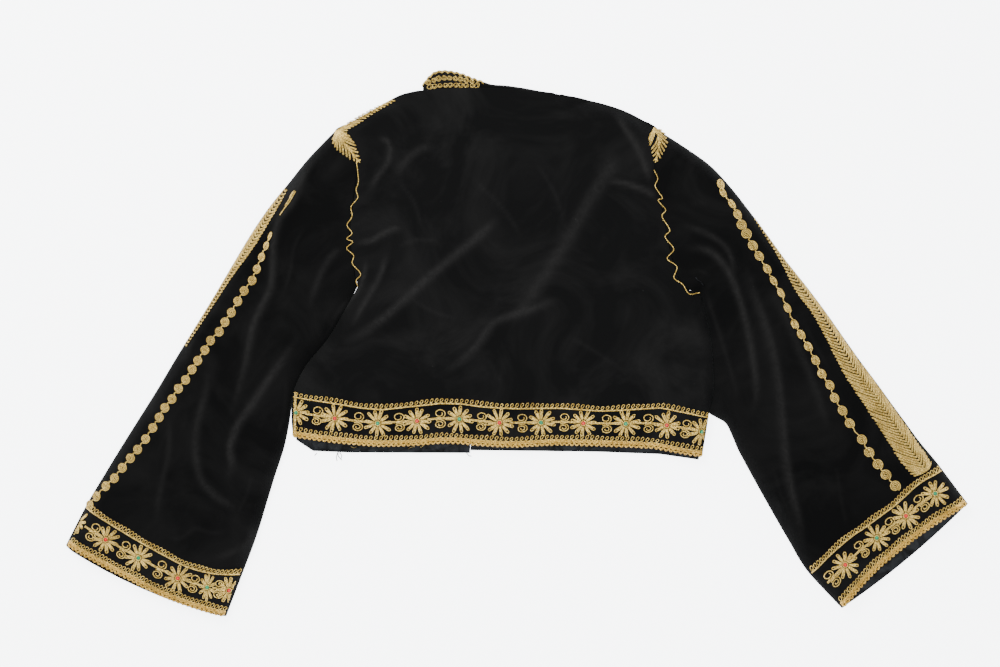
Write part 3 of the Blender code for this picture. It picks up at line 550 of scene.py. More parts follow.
def shell(name, outer, inner, outside, inside, tube=False, attribute=None):
    """A thin closed wall between two grids, with one finish outside and another inside."""
    rows, columns = outer.shape[:2]
    n = rows * columns
    out_faces = grid_quads(rows, columns, tube)
    in_faces = grid_quads(rows, columns, tube, n)[:, ::-1]
    first, last = np.arange(columns), np.arange(n - columns, n)
    if tube:
        rims = [np.append(first, first[0]), np.append(last, last[0])[::-1]]
    else:
        up = np.arange(2 * columns - 1, n, columns)
        down = np.arange(n - 2 * columns, -1, -columns)
        rims = [np.concatenate([first, up, last[:-1][::-1], down])]
    rim_faces = [np.stack([rim[1:], rim[:-1], n + rim[:-1], n + rim[1:]], axis=-1) for rim in rims]
    faces = np.vstack([out_faces, in_faces, *rim_faces])
    finish_of = np.zeros(len(faces), np.int32)
    finish_of[len(out_faces) : len(out_faces) + len(in_faces)] = 1
    points = np.vstack([outer.reshape(-1, 3), inner.reshape(-1, 3)])
    obj = new_piece(name, points, faces.tolist(), [outside, inside], finish_of)
    if attribute is not None:
        # The painted highlight along the crests, read by the velvet's colour
        layer = obj.data.attributes.new("painted_crest_highlight", "FLOAT", "POINT")
        layer.data.foreach_set("value", np.concatenate([attribute.ravel()] * 2).astype(np.float32))
    face_outwards(obj)
    return obj


# Painted highlight on the crests: its width as a share of each fold's softness, and the crest height at which
# it is full
HIGHLIGHT_SPREAD = 0.36
HIGHLIGHT_FULL = 6.5


def painted_crest_highlight(plan):
    """Painted highlight on the upper layer, greyer where light would catch the cloth: most on the creases'
    crests.
    """
    flat = plan.reshape(-1, 2)
    crests = crease_height(flat, FOLD_LINES, HIGHLIGHT_SPREAD) + crease_height(flat, CREASE_LINES, HIGHLIGHT_SPREAD)
    return np.clip(crests / HIGHLIGHT_FULL, 0, 1).reshape(plan.shape[:-1])


def back_shell(velvet, lining):
    plan = refine(back_grid()[..., :2], BACK_ROWS_PER_SPAN, BACK_COLUMNS_PER_SPAN)
    outer = raised_grid(plan)
    obj = shell("back_cloth", outer, outer - SHELL * normals_of(outer), velvet, lining, attribute=painted_crest_highlight(plan))
    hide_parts("back")
    return obj


def sleeve_lines(which):
    """Section numbers and the outer and inner ends of a sleeve's sections."""
    k = np.linspace(0, SECTIONS - 1, 2 * SECTIONS - 1)
    outer = spline(SLEEVES[which]["outer"], 2)
    inner = spline(SLEEVES[which]["inner"], 2)
    seam_rows = SIDE_ROWS[: BAND_ROWS - 2 : -1]
    inner[: len(seam_rows)] = along(spline(SIDE_LEFT if which == "left" else SIDE_RIGHT), seam_rows)
    inner = offset_line(inner, SEAM_CLEARANCE * SIDE_SIGN[which])
    return k, outer, inner


TOP_INSET = 2.8


def sleeve_shares(outer, inner):
    """Shares across each section of its top points and of its floor points."""
    width = np.linalg.norm(inner - outer, axis=1)
    across = (inner - outer) / width[:, None]
    at_outer, at_inner = 1 / slant(across, outer), 1 / slant(across, inner)
    tops = round(width.max() / TOP_SPACING)
    floors = round(width.max() / FLOOR_SPACING)
    first, last = TOP_INSET * at_outer, width - TOP_INSET * at_inner
    top = first + (last - first) * np.linspace(0, 1, tops)[:, None]
    first, last = width - FLOOR_INSET * at_inner, FLOOR_INSET * at_outer
    floor = first + (last - first) * np.linspace(0, 1, floors)[:, None]
    return (top / width).T, (floor / width).T


def sleeve_plans(which):
    """Plan positions of a sleeve's top points, floor points and two sides, finely spaced down the sleeve."""
    k, outer, inner = sleeve_lines(which)
    top_w, floor_w = sleeve_shares(outer, inner)
    ends = np.tile([0.0, 1.0], (len(k), 1))
    armhole = offset_line(spline(SLEEVES[which]["armhole"]), SEAM_CLEARANCE * SIDE_SIGN[which])
    made = []
    for shares, upper in ((top_w, True), (floor_w, False), (ends, True)):
        rows = [sleeve_plan(which, *row, upper) for row in zip(k, outer, inner, shares)]
        rows[0] = along(armhole, 1 - shares[0])
        made.append(spline(np.array(rows), SLEEVE_ROWS_PER_SPAN))
    return made


def curve_between(a, b, c, d, t):
    """A point between b and c on a smooth curve through four points."""
    return 0.5 * (2 * b + (c - a) * t + (2 * a - 5 * b + 4 * c - d) * t**2 + (3 * b - a - 3 * c + d) * t**3)


def sleeve_shell(which, velvet, lining):
    top, floor, ends = sleeve_plans(which)
    top = raised_grid(top)
    floor = np.concatenate([floor, trough_height(floor)[..., None]], axis=-1)
    ends = np.concatenate([ends, np.full((*ends.shape[:2], 1), FOLD_EDGE_HEIGHT)], axis=-1)
    ring = np.concatenate([ends[:, :1], top, ends[:, 1:], floor], axis=1)
    count = ring.shape[1]
    turns = {count - 1, 0, top.shape[1], top.shape[1] + 1}
    columns = []
    for j in range(count):
        columns.append(ring[:, j])
        if j in turns:
            four = [ring[:, (j + step) % count] for step in (-1, 0, 1, 2)]
            columns += [curve_between(*four, t) for t in ROLL_STEPS]
    outer = np.stack(columns, axis=1)
    normal = outward(outer, tube=True)
    if normal[len(normal) // 2, top.shape[1] // 2, 2] < 0:
        normal = -normal
    plan = outer[..., :2]
    upper = outer[..., 2] > EDGE_HEIGHT
    inner = outer - SHELL * normal
    inner[..., 2] = np.maximum(inner[..., 2], SHELL)
    name = f"sleeve_{which}_cloth"
    # Painted highlight on the crests of the upper layer only
    obj = shell(name, outer, inner, velvet, lining, tube=True, attribute=painted_crest_highlight(plan) * upper)
    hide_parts(f"sleeve_{which}_upper", f"sleeve_{which}_under")
    return obj


TROUGH = 0.9
TROUGH_LENGTHS = (23, 61, 47, 83)
TROUGH_SHARES = (0.35, 0.85)  # of the waves, over which a trough rises


def trough_height(plan):
    """Shallow troughs in the cloth that lies on the surface, clear of it by this much."""
    x, y = plan[..., 0], plan[..., 1]
    across, along_it, down, down_it = TROUGH_LENGTHS
    waves = np.sin(x / across + 1.7 * np.sin(y / along_it)) * np.sin(y / down + 1.1 * np.sin(x / down_it))
    low, high = TROUGH_SHARES
    return TROUGH * ease((waves - low) / (high - low))


# The two fronts, which lie face down under the back
FRONT_ROWS = 90
FRONT_COLUMNS = 70
FRONT_TOP = 2.0
CENTRE_FRONT = {"left": (-40, 240), "right": (-34, 240)}
CENTRE_GAP = 4.4  # by which the right front reaches further towards the left one at the hem
FRONT_SEAM_START = 0.09  # share of the side seam at which a front leaves its own hem
FRONT_SEAM_POINTS = 20
FRONT_LEAST_WALL = 1.2
HEM_SHARE = 0.12  # of a front's length, over which it takes up its hem's line
LINING_WAVE = 1.3
LINING_WAVE_LENGTHS = (7.0, 11.0, 31.0)  # across, down, and of its unevenness


def front_shell(which, velvet, lining):
    """A front panel as a grid from its side seam to its open edge; the lining is uppermost."""
    side = SIDE_LEFT if which == "left" else SIDE_RIGHT
    neck = NECK_FRONT_LEFT if which == "left" else NECK_FRONT_RIGHT
    side_seam = along(spline(side), np.linspace(FRONT_SEAM_START, 1, FRONT_SEAM_POINTS))
    seam = np.vstack([side_seam, spline(SLEEVES[which]["armhole"])[1:]])
    seam = offset_line(seam, -SEAM_CLEARANCE * SIDE_SIGN[which])
    hem = np.array(FRONT_HEM[which], float)[::-1]
    if which == "right":
        hem[-1, 0] -= CENTRE_GAP
    inner = np.vstack([hem[-1:], [CENTRE_FRONT[which]], spline(neck)[::-1][1:]])
    q = np.linspace(0, 1, FRONT_ROWS)
    u = np.linspace(0, 1, FRONT_COLUMNS)
    outer_points, inner_points = along(seam, q), along(inner, q)
    plan = outer_points[:, None] + u[:, None] * (inner_points - outer_points)[:, None]
    hem_row = along(hem, u)
    plan += (hem_row - plan[0]) * (1 - ease(q / HEM_SHARE))[:, None, None]
    low = np.concatenate([plan, trough_height(plan)[..., None]], axis=-1)
    across, down, uneven = LINING_WAVE_LENGTHS
    waves = LINING_WAVE * np.sin(plan[..., 0] / across + 2 * np.sin(plan[..., 1] / down))
    waves *= 0.5 + 0.5 * np.sin(plan[..., 0] / uneven)
    lining_height = np.maximum(FRONT_TOP + waves, low[..., 2] + FRONT_LEAST_WALL)
    high = np.concatenate([plan, lining_height[..., None]], axis=-1)
    obj = shell(f"front_{which}_cloth", high, low, lining, velvet)
    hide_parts(f"front_{which}")
    return obj


COLLAR_TUCK = 3.0  # how far the collar reaches under the back's edge
COLLAR_TUCK_SHARES = (0.62, 0.9)  # of the neck, where it goes under the back whole
COLLAR_FINENESS = 6
COLLAR_SHELL = 1.6


def collar_shell(velvet):
    """The stand collar's stretch across the back of the neck, as one folded band."""
    back = spline(NECK_BACK)
    sections = []
    for share, shown, height in COLLAR_BACK:
        tucked = ramp(share, *COLLAR_TUCK_SHARES)
        base = along(back, [share])[0] + (0, COLLAR_CLEARANCE - COLLAR_TUCK * tucked)
        folded = folded_section(base, shown, height - tucked)
        sections.append([(base[0], base[1] - COLLAR_TUCK, height - 1 - tucked)] + folded)
    sections = np.array(sections)
    sections = refine(sections, COLLAR_FINENESS, COLLAR_FINENESS)
    half = COLLAR_SHELL / 2 * outward(sections)
    obj = shell("collar_cloth", sections + half, sections - half, velvet, velvet)
    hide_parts("collar")
    return obj


def front_collar_shell(which, velvet):
    """The collar's stretch along one front's neckline, flat inside it on the surface."""
    side = SIDE_SIGN[which]
    shares, heights = np.array(FRONT_COLLAR).T
    neck = along(spline(NECK_FRONT_LEFT if which == "left" else NECK_FRONT_RIGHT), shares)
    base = offset_line(neck, side * SEAM_GAP)
    up = side * (offset_line(neck, 1) - neck)
    up[-1] = (0, 1)
    steps = np.linspace(0, 1, FRONT_COLLAR_POINTS)
    cage = base[:, None] + (up * heights[:, None])[:, None] * steps[:, None]
    plan = refine(cage, COLLAR_FINENESS, COLLAR_FINENESS)
    low = np.concatenate([plan, trough_height(plan)[..., None]], axis=-1)
    obj = shell(f"collar_front_{which}_cloth", low + (0, 0, COLLAR_SHELL), low, velvet, velvet)
    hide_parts(f"collar_front_{which}")
    return obj


# Couched cord
CORD = 0.75  # radius
THIN_CORD = 0.55
CORD_FLATTENED = 0.85
CORD_SIDES = 6
CORD_TWIST = 2.6  # length in which its strands go once round
STEP = 1.5  # between the points of a curled cord
LONG_STEP = 2.5
CORD_LIFT = 0.8  # of its half height, from the ground to its middle
RAY_START = 0.1  # metres up, well above the jacket
SEARCH_HEIGHT = 0.012  # metres up, about the back's height


class Ground:
    """The surfaces that trim is laid on, found from above."""

    def __init__(self, objects):
        graph = bpy.context.evaluated_depsgraph_get()
        self.trees = [BVHTree.FromObject(obj, graph) for obj in objects]

    def lay(self, plan, lift):
        """Points over places of the plan, a distance above the highest surface there."""
        points = []
        for x, y in plan:
            best = None
            for tree in self.trees:
                hit, normal = tree.ray_cast(Vector((x * MM, y * MM, RAY_START)), Vector((0, 0, -1)))[:2]
                if hit is not None and (best is None or hit.z > best[0].z):
                    best = (hit, normal)
            if best is None:
                aim = Vector((x * MM, y * MM, SEARCH_HEIGHT))
                near = [tree.find_nearest(aim)[:2] for tree in self.trees]
                best = max(near, key=lambda pair: pair[0].z)
                best = (Vector((x * MM, y * MM, max(best[0].z, 0))), Vector((0, 0, 1)))
            hit, normal = best
            points.append(hit / MM + normal * lift)
        return np.array(points)


def resample(line, step):
    """Evenly spaced points along a line."""
    line = np.asarray(line, float)
    length = np.linalg.norm(np.diff(line, axis=0), axis=1).sum()
    count = max(int(round(length / step)), 3)
    return along(line, np.linspace(0, 1, count + 1))


def tube_mesh(lines, radius):
    """Points, faces and UVs of round cords along lines of points; U counts their turns of twist."""
    points, faces, uvs = [], [], []
    start = 0
    angle = 2 * math.pi * np.arange(CORD_SIDES) / CORD_SIDES
    for line in lines:
        run = np.gradient(line, axis=0)
        run /= np.maximum(np.linalg.norm(run, axis=1, keepdims=True), 1e-9)
        side = np.cross((0.0, 0.0, 1.0), run)
        side /= np.maximum(np.linalg.norm(side, axis=1, keepdims=True), 1e-9)
        up = np.cross(run, side)
        ring = (
            line[:, None]
            + radius * np.cos(angle)[:, None] * side[:, None]
            + radius * CORD_FLATTENED * np.sin(angle)[:, None] * up[:, None]
        )
        n = len(line)
        quads = grid_quads(n, CORD_SIDES, True, start)
        length = np.concatenate([[0], np.cumsum(np.linalg.norm(np.diff(line, axis=0), axis=1))]) / CORD_TWIST
        i, j = np.meshgrid(np.arange(n - 1), np.arange(CORD_SIDES), indexing="ij")
        u = np.stack([length[i], length[i], length[i + 1], length[i + 1]], axis=-1).reshape(-1, 4)
        v = np.stack([j, j + 1, j + 1, j], axis=-1).reshape(-1, 4) / CORD_SIDES
        points.append(ring.reshape(-1, 3))
        faces += quads.tolist()
        uvs.append(np.stack([u, v], axis=-1).reshape(-1, 2))
        faces.append([start + k for k in reversed(range(CORD_SIDES))])
        faces.append([start + (n - 1) * CORD_SIDES + k for k in range(CORD_SIDES)])
        uvs.append(np.zeros((2 * CORD_SIDES, 2)))
        start += n * CORD_SIDES
    return np.vstack(points), faces, np.vstack(uvs)


def join_cords(name, parts, ground, finish):
    """One piece of cords on the ground, from sets of lines, each with its radius, step and lift."""
    points, faces, uvs = [], [], []
    start = 0
    for lines, radius, step, lift in parts:
        above = lift + radius * CORD_FLATTENED * CORD_LIFT
        laid = [ground.lay(resample(line, step), above) for line in lines]
        p, f, uv = tube_mesh(laid, radius)
        points.append(p)
        faces += [[i + start for i in face] for face in f]
        uvs.append(uv)
        start += len(p)
    return new_piece(name, np.vstack(points), faces, [finish], uv=np.vstack(uvs))


def frame_at(place, turn):
    """A function from a motif's own plan coordinates to the jacket's."""
    cos, sin = math.cos(turn), math.sin(turn)

    def to_plan(points):
        p = np.asarray(points, float)
        x = place[0] + p[:, 0] * cos - p[:, 1] * sin
        y = place[1] + p[:, 0] * sin + p[:, 1] * cos
        return np.column_stack([x, y])

    return to_plan


def petal(angle, start, end, half_width):
    """A long rounded loop that points away from a flower's centre."""
    t = np.linspace(0, 2 * math.pi, 25)
    far = (1 - np.cos(t)) / 2
    reach = start + (end - start) * far
    across = half_width * np.sin(t) / np.sqrt(0.3 + 0.7 * np.sin(t) ** 2) * (0.6 + 0.4 * far)
    cos, sin = math.cos(angle), math.sin(angle)
    return np.column_stack([reach * cos - across * sin, reach * sin + across * cos])


PETALS = 11
PETAL_START = 4.4
PETAL_END = 17.4
PETAL_HALF_WIDTH = 1.75
INNER_PETAL_SHORTER = 2.6
INNER_PETAL_HALF_WIDTH = 0.35
STONE_RING = 3.2


def flower(place, turn, rng, squeeze):
    """Lines of one flower: a ring of long petals, each two loops of cord, round a small ring."""
    lines = []
    for n in range(PETALS):
        angle = 2 * math.pi * (n + 0.5 + rng.uniform(-0.12, 0.12)) / PETALS
        end = PETAL_END * rng.uniform(0.9, 1.06)
        half_width = PETAL_HALF_WIDTH * rng.uniform(0.88, 1.1)
        lines.append(petal(angle, PETAL_START, end, half_width))
        lines.append(petal(angle, PETAL_START + 1, end - INNER_PETAL_SHORTER, INNER_PETAL_HALF_WIDTH))
    t = np.linspace(0, 2 * math.pi, 19)
    lines.append(np.column_stack([STONE_RING * np.cos(t), STONE_RING * np.sin(t)]))
    to_plan = frame_at(place, turn)
    return [to_plan(line * (squeeze, 1)) for line in lines]


STONE_RADIUS = 2.5
SCROLL_RADII = (7.2, 5.7)

# Turns, and the share of its size left at its end
SCROLL_SPIRAL = {"upper": (1.45, 0.42), "lower": (1.95, 0.22)}
SCROLL_START = 0.62  # half turns before its own axis
SCROLL_MOUTH = 1.08
SCROLL_CLOSING = 1.15
SCROLL_WOBBLE = 0.08


def scroll(place, turn, size, mirror):
    """The line of one leaf scroll: a hooked loop on the stem's upper side, a spiral on its lower one."""
    turns, left = SCROLL_SPIRAL["upper" if mirror > 0 else "lower"]
    t = np.linspace(0, 1, int(30 * turns))
    angle = (2 * turns * t - SCROLL_START) * math.pi
    shrink = SCROLL_MOUTH - (SCROLL_MOUTH - left) * t**SCROLL_CLOSING
    wobble = 1 + SCROLL_WOBBLE * np.sin(2 * angle + turn)
    line = np.column_stack([SCROLL_RADII[0] * np.cos(angle), mirror * SCROLL_RADII[1] * np.sin(angle)])
    return [frame_at(place, turn)(line * (shrink * wobble)[:, None] * size)]


LOOP_HEIGHT = 6.0
LOOP_WIDTH = 3.1
LOOP_LEAN = 0.28
LOOP_POINTS = 14


def loop_row(baseline, upwards, rng, pitch):
    """A cord in a row of small upright loops that stand on a line."""
    length = np.linalg.norm(np.diff(baseline, axis=0), axis=1).sum()
    loops = int(round(length / pitch))
    phase = np.linspace(0, 2 * math.pi * loops, loops * LOOP_POINTS + 1)
    s = length * phase / phase[-1] + LOOP_WIDTH * np.sin(phase)
    up = LOOP_HEIGHT / 2 * (1 - np.cos(phase))
    up *= 1 + 0.12 * np.sin(phase / 9.7 + 3 * rng.uniform())
    s += LOOP_LEAN * up
    place = along(baseline, np.clip(s / length, 0, 1))
    way = along(upwards, np.clip(s / length, 0, 1))
    return place + up[:, None] * way


LOOP_PITCH = {"hem": 6.3, "cuff": 5.2}
LOOP_CORD = 0.52

# Rows of a band, in millimetres up from the tips of its scallops, or down from the top of its loops
SCALLOP_PITCH = 6.2
SCALLOP_DEPTH = 2.9
SCALLOP_INSETS = (0.0, 1.2)
BRAID_ROWS = (3.9, 5.1, 6.3)
LOWER_LOOPS = 7.0
UPPER_LINE = 7.0
UPPER_LOOPS = 6.4


def band_lines(bottom, top, rng, pitch):
    """Lines of a band's borders between its two edges: loop rows, the double line and the scalloped braid."""
    way = top - bottom
    way /= np.linalg.norm(way, axis=1, keepdims=True)

    def row(up):
        return bottom + up * way

    def hang(down):
        return top - down * way

    middle = row(LOWER_LOOPS)
    length = np.linalg.norm(np.diff(bottom, axis=0), axis=1).sum()
    scallops = int(round(length / SCALLOP_PITCH))
    share = np.linspace(0, 1, scallops * 10 + 1)
    scallop_lines = []
    for inset in SCALLOP_INSETS:
        up = SCALLOP_DEPTH * (1 - np.abs(np.sin(math.pi * share * scallops))) + inset
        scallop_lines.append(along(bottom, share) + up[:, None] * along(way, share))
    curled = [loop_row(middle, way, rng, pitch), loop_row(hang(UPPER_LOOPS), way, rng, pitch)]
    return curled, [hang(UPPER_LINE)], [row(up) for up in BRAID_ROWS] + scallop_lines


END_MARGIN = 1.0


def between_ends(lines, start, end):
    """The stretches of lines that lie between a band's two end lines."""
    kept = []
    for line in lines:
        inside = np.ones(len(line), bool)
        for (foot, head), side in ((start, -1), (end, 1)):
            run = (head - foot) / np.linalg.norm(head - foot)
            inside &= side * (run[0] * (line[:, 1] - foot[1]) - run[1] * (line[:, 0] - foot[0])) > END_MARGIN
        edges = np.flatnonzero(np.diff(np.concatenate([[0], inside.astype(int), [0]])))
        kept += [line[a:b] for a, b in zip(edges[::2], edges[1::2]) if b - a > 2]
    return kept


STONE_FACETS = 8
STONE_HEIGHT = 1.6
STONE_LIFT = 0.6
STONE_RINGS = ((1.0, 0.0), (1.0, 0.35), (0.55, 0.95))  # shares of its radius and of its height


def stone(place, ground):
    """Points and faces of one faceted stone over a place."""
    base = ground.lay([place], STONE_LIFT)[0]
    points = []
    for r, h in STONE_RINGS:
        for n in range(STONE_FACETS):
            angle = 2 * math.pi * (n + 0.5 * (h > 0.5)) / STONE_FACETS
            x, y = STONE_RADIUS * r * math.cos(angle), STONE_RADIUS * r * math.sin(angle)
            points.append(base + (x, y, STONE_HEIGHT * h))
    faces = [list(reversed(range(STONE_FACETS))), [2 * STONE_FACETS + n for n in range(STONE_FACETS)]]
    for ring in range(len(STONE_RINGS) - 1):
        for n in range(STONE_FACETS):
            m = (n + 1) % STONE_FACETS
            a, b = ring * STONE_FACETS, (ring + 1) * STONE_FACETS
            faces.append([a + n, a + m, b + m, b + n])
    return points, faces


def stones(name, places, ground, finish):
    points, faces = [], []
    for place in places:
        p, f = stone(place, ground)
        faces += [[i + len(points) for i in face] for face in f]
        points += p
    obj = new_piece(name, points, faces, [finish])
    obj.data.shade_flat()
    return obj


BAND_POINTS = 220
BAND_STRIP_ROWS = 20
BAND_STRIP = 0.6
BAND_INSET = 0.04
FLOWER_UP = 0.545
SCROLL_SHARE = 0.46
SCROLL_OFFSET = 6.6
SCROLL_TURN = 0.3
SCROLL_SIZES = (0.84, 0.98)
LEAST_SCROLL_ROOM = 4.0
STEM = (0.55, 0.6)  # shares of the way to the flowers before and after
STEM_GAP = 1.3
AHEAD = 0.004  # share of the band over which its direction is read
BAND_GAP = 0.3  # from the cloth to the band's strip
END_CORDS = (0.004, 0.0075)
LOOP_STEP = 1.1
BRAID_STEP = 1.0


def band(name, bottom, top, seats, ground, finish, seed, end_cords=False):
    """An embroidered band: its strip of velvet, the cords on it and the stones at the flowers' centres."""
    rng = np.random.default_rng(seed)
    share = np.linspace(0, 1, BAND_POINTS)
    bottom, top = along(bottom, share), along(top, share)
    across = np.linspace(BAND_INSET, 1, BAND_STRIP_ROWS)[:, None, None]
    plan = bottom + across * (top - bottom)
    base = ground.lay(plan.reshape(-1, 2), BAND_GAP).reshape(*plan.shape[:2], 3)
    strip = shell(f"{name}_ground", base + (0, 0, BAND_STRIP), base, finish["velvet"], finish["velvet"])
    strip_ground = Ground([strip])
    curled, plain, braid = band_lines(bottom, top, rng, LOOP_PITCH[name.split("_")[0]])
    middle = bottom + FLOWER_UP * (top - bottom)
    length = np.linalg.norm(np.diff(middle, axis=0), axis=1).sum()
    motifs = []
    centres = {"red": [], "green": []}
    for seat, colour, squeeze in seats:
        here, ahead = along(middle, [seat, seat + AHEAD])
        turn = math.atan2(*(ahead - here)[::-1])
        motifs += flower(here, turn + rng.uniform(-0.2, 0.2), rng, squeeze)
        if colour:
            centres[colour].append(here)
    for n, (seat, _, _) in enumerate(seats):
        before = seats[n - 1][0] if n else seat - (seats[1][0] - seat)
        spot = seat - SCROLL_SHARE * (seat - before)
        if spot * length < LEAST_SCROLL_ROOM:
            continue
        here, ahead, end, start = along(middle, [spot, spot + AHEAD, seat, max(before, 0)])
        turn = math.atan2(*(ahead - here)[::-1])
        side = np.array([-math.sin(turn), math.cos(turn)])
        for mirror in (-1, 1):
            size = rng.uniform(*SCROLL_SIZES)
            motifs += scroll(here + SCROLL_OFFSET * mirror * side, turn - SCROLL_TURN * mirror, size, mirror)
        stem = np.array([here - (here - start) * STEM[0], here, here + (end - here) * STEM[1]])
        motifs += [stem, stem + STEM_GAP * side]
    motifs = between_ends(motifs, (bottom[0], top[0]), (bottom[-1], top[-1]))
    if end_cords:
        for inset in END_CORDS:
            motifs.append(np.array([along(bottom, [inset])[0], along(top, [inset])[0]]))
    parts = [(motifs, CORD, STEP, 0.0), (curled, LOOP_CORD, LOOP_STEP, 0.0), (plain, CORD, LONG_STEP, 0.0)]
    join_cords(f"{name}_cords", parts, strip_ground, finish["gold"])
    join_cords(f"{name}_braid", [(braid, CORD, BRAID_STEP, 0.0)], strip_ground, finish["braid"])
    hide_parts(name)
    for colour, places in centres.items():
        if places:
            stones(f"{name}_stones_{colour}", places, strip_ground, finish[colour])


# Flowers: share of the band's length, colour of the stone if it shows, squeeze along the band
HEM_FLOWERS = (0.008, 0.102, 0.206, 0.301, 0.403, 0.5, 0.6, 0.702, 0.804, 0.903, 0.988)
HEM_SEATS = [(share, "red" if n % 2 else "green", 1.0) for n, share in enumerate(HEM_FLOWERS)]
CUFF_SEATS = {
    "left": (
        (0.0, None, 0.5), (0.19, "red", 1.0), (0.41, "green", 1.0), (0.67, "red", 1.0),
        (0.85, "green", 0.62), (0.975, "red", 0.9),
    ),
    "right": ((0.18, "red", 1.0), (0.433, "green", 1.0), (0.655, "red", 1.0), (0.88, "green", 1.0)),
}

# The middles of the spiral discs down the sleeves, and each disc's width as a share of its length
CHAIN_CENTRES = {
    "left": (
        (-308, 134), (-313, 122), (-319, 108), (-325, 93), (-331, 79), (-341, 66), (-349, 53),
        (-357, 39), (-365, 27),
        (-372, 15), (-383, 4), (-390, -8), (-399, -21), (-406, -32), (-414, -45), (-423, -56),
        (-431, -69), (-440, -80),
        (-447, -92), (-455, -105), (-464, -119), (-474, -132), (-483, -143), (-493, -155),
        (-503, -168), (-514, -178),
        (-526, -191), (-535, -202),
    ),
    "right": (
        (254, 199), (257, 188), (268, 174), (275, 161), (280, 148), (286, 137), (294, 122), (302, 109),
        (312, 93),
        (320, 78), (329, 63), (337, 44), (346, 24), (354, 11), (363, -4), (372, -21), (380, -38), (390, -52),
        (396, -68), (406, -84), (415, -100), (430, -120), (439, -136), (450, -151), (460, -164), (472, -178),
    ),
}
CHAIN_WIDTHS = {
    "left": ((0.0, 0.3), (0.04, 0.6), (0.08, 0.8), (0.12, 0.9), (0.16, 1.0), (1.0, 1.0)),
    "right": (
        (0.0, 0.65), (0.04, 0.5), (0.08, 0.5), (0.12, 0.7), (0.16, 0.9), (0.2, 0.95), (0.25, 0.85),
        (0.29, 0.75),
        (0.33, 0.65), (0.37, 0.5), (0.41, 0.58), (0.5, 0.67), (0.6, 0.75), (0.8, 0.85), (1.0, 1.0),
    ),
}
DISC_RADIUS = 6.3
DISC_STRETCH = {"left": 0.93, "right": 1.1}
DISC_TURNS = 3.2
DISC_STEP = 1.2
LINK_SWING = 0.8


def spiral(place, turn, width, stretch):
    """A flat spiral of cord, from its rim to its middle."""
    t = np.linspace(0, 2 * math.pi * DISC_TURNS, int(DISC_TURNS * 16))
    r = DISC_RADIUS * (1 - 0.9 * t / t[-1])
    return frame_at(place, turn)(np.column_stack([r * np.cos(t) * stretch, r * np.sin(t) * width * stretch]))


# Where the fold beside the left chain leaves only its rims to be seen
LEFT_SLIVERS = (
    ((-276, 189.5), (-283, 177), (-290, 168), (-295.5, 160)),
    ((-277.5, 190), (-284, 179), (-289, 171.5)),
    ((-279, 189), (-283.5, 181.5)),
)


def chain(which, ground, gold):
    centres = np.array(CHAIN_CENTRES[which], float)
    ways = np.gradient(centres, axis=0)
    discs, links = [], []
    for n, (here, way) in enumerate(zip(centres, ways)):
        width = np.interp(n / (len(centres) - 1), *zip(*CHAIN_WIDTHS[which]))
        discs.append(spiral(here, math.atan2(way[1], way[0]), width, DISC_STRETCH[which]))
    for a, b in zip(centres, centres[1:]):
        way = (b - a) / np.linalg.norm(b - a)
        side = np.array([-way[1], way[0]])
        reach = DISC_RADIUS * DISC_STRETCH[which]
        gap = np.linalg.norm(b - a) - 2 * reach
        if gap > 0:
            rim, off = a + way * reach, LINK_SWING * side
            links.append([rim - way + off, rim + way * gap / 2 - off, rim + way * (gap + 1) + off])
    if which == "left":
        links += [list(sliver) for sliver in LEFT_SLIVERS]
    parts = [(discs, CORD, DISC_STEP, 0.0), (links, CORD, STEP, 0.0)]
    obj = join_cords(f"disc_chain_{which}_cords", parts, ground, gold)
    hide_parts(f"disc_chain_{which}")
    return obj


# Feather panels: the inner edge from the shoulder down, and the share of the way across it to the middle rib
FEATHER_EDGE = {
    "left": ((-287, 194), (-298, 171), (-327, 123), (-358, 81), (-384, 42), (-416, -6)),
    "right": (
        (296.6, 157), (314, 129), (329, 104), (348, 65), (369, 37), (387, 3.5), (407, -37), (432, -75),
        (459, -117),
        (485.5, -157), (499, -168),
    ),
}
FEATHER_RIB = {"left": 0.45, "right": 0.6}

# How far the feather's other edge lies inside the sleeve's outer edge, at shares of its length
FEATHER_MARGIN = {
    "left": ((0.0, 1.5), (1.0, 1.5)),
    "right": ((0.0, 1.5), (0.75, 1.6), (0.9, 3.5), (1.0, 6.5)),
}
FEATHER_POINTS = 60
BARB_PITCH = 4.7
BARB_LEAN = 1.35  # how far along the axis a barb runs for each millimetre that it reaches out
BARB_CURL = 0.75
BARB_HALF_WIDTH = 0.57
BARB_TIP = 0.7
BARB_STEP = 1.8


def barb(tip, foot, side):
    """One barb of cord: a narrow rounded loop from its foot to its tip."""
    run = (tip - foot) / max(np.linalg.norm(tip - foot), 1e-6)
    across = np.array([-run[1], run[0]])
    t = np.linspace(0, 1, 9)[:, None]
    spine = foot + (tip - foot) * t + BARB_CURL * np.sin(math.pi * t) * side * across
    half = BARB_HALF_WIDTH * across
    return np.vstack([spine + half, [tip + BARB_TIP * run], (spine - half)[::-1]])


def barbs(axis, reach, sides, rng, lean=BARB_LEAN, pitch=BARB_PITCH):
    """Barbs down an axis, each leaning from it towards its tip."""
    length = np.linalg.norm(np.diff(axis, axis=0), axis=1).sum()
    lines = []
    for n in range(int(length / pitch)):
        share = (n + 0.5) / (length / pitch)
        for side, column in sides:
            wide = np.interp(share, reach[:, 0], reach[:, column]) * rng.uniform(0.92, 1.06)
            tip, foot = along(axis, [share, min(share + wide * lean / length, 1.0)])
            before, after = along(axis, [max(share - 0.01, 0), min(share + 0.01, 1)])
            way = (after - before) / np.linalg.norm(after - before)
            out = side * np.array([-way[1], way[0]])
            lines.append(barb(tip + wide * out, foot, side))
    return lines


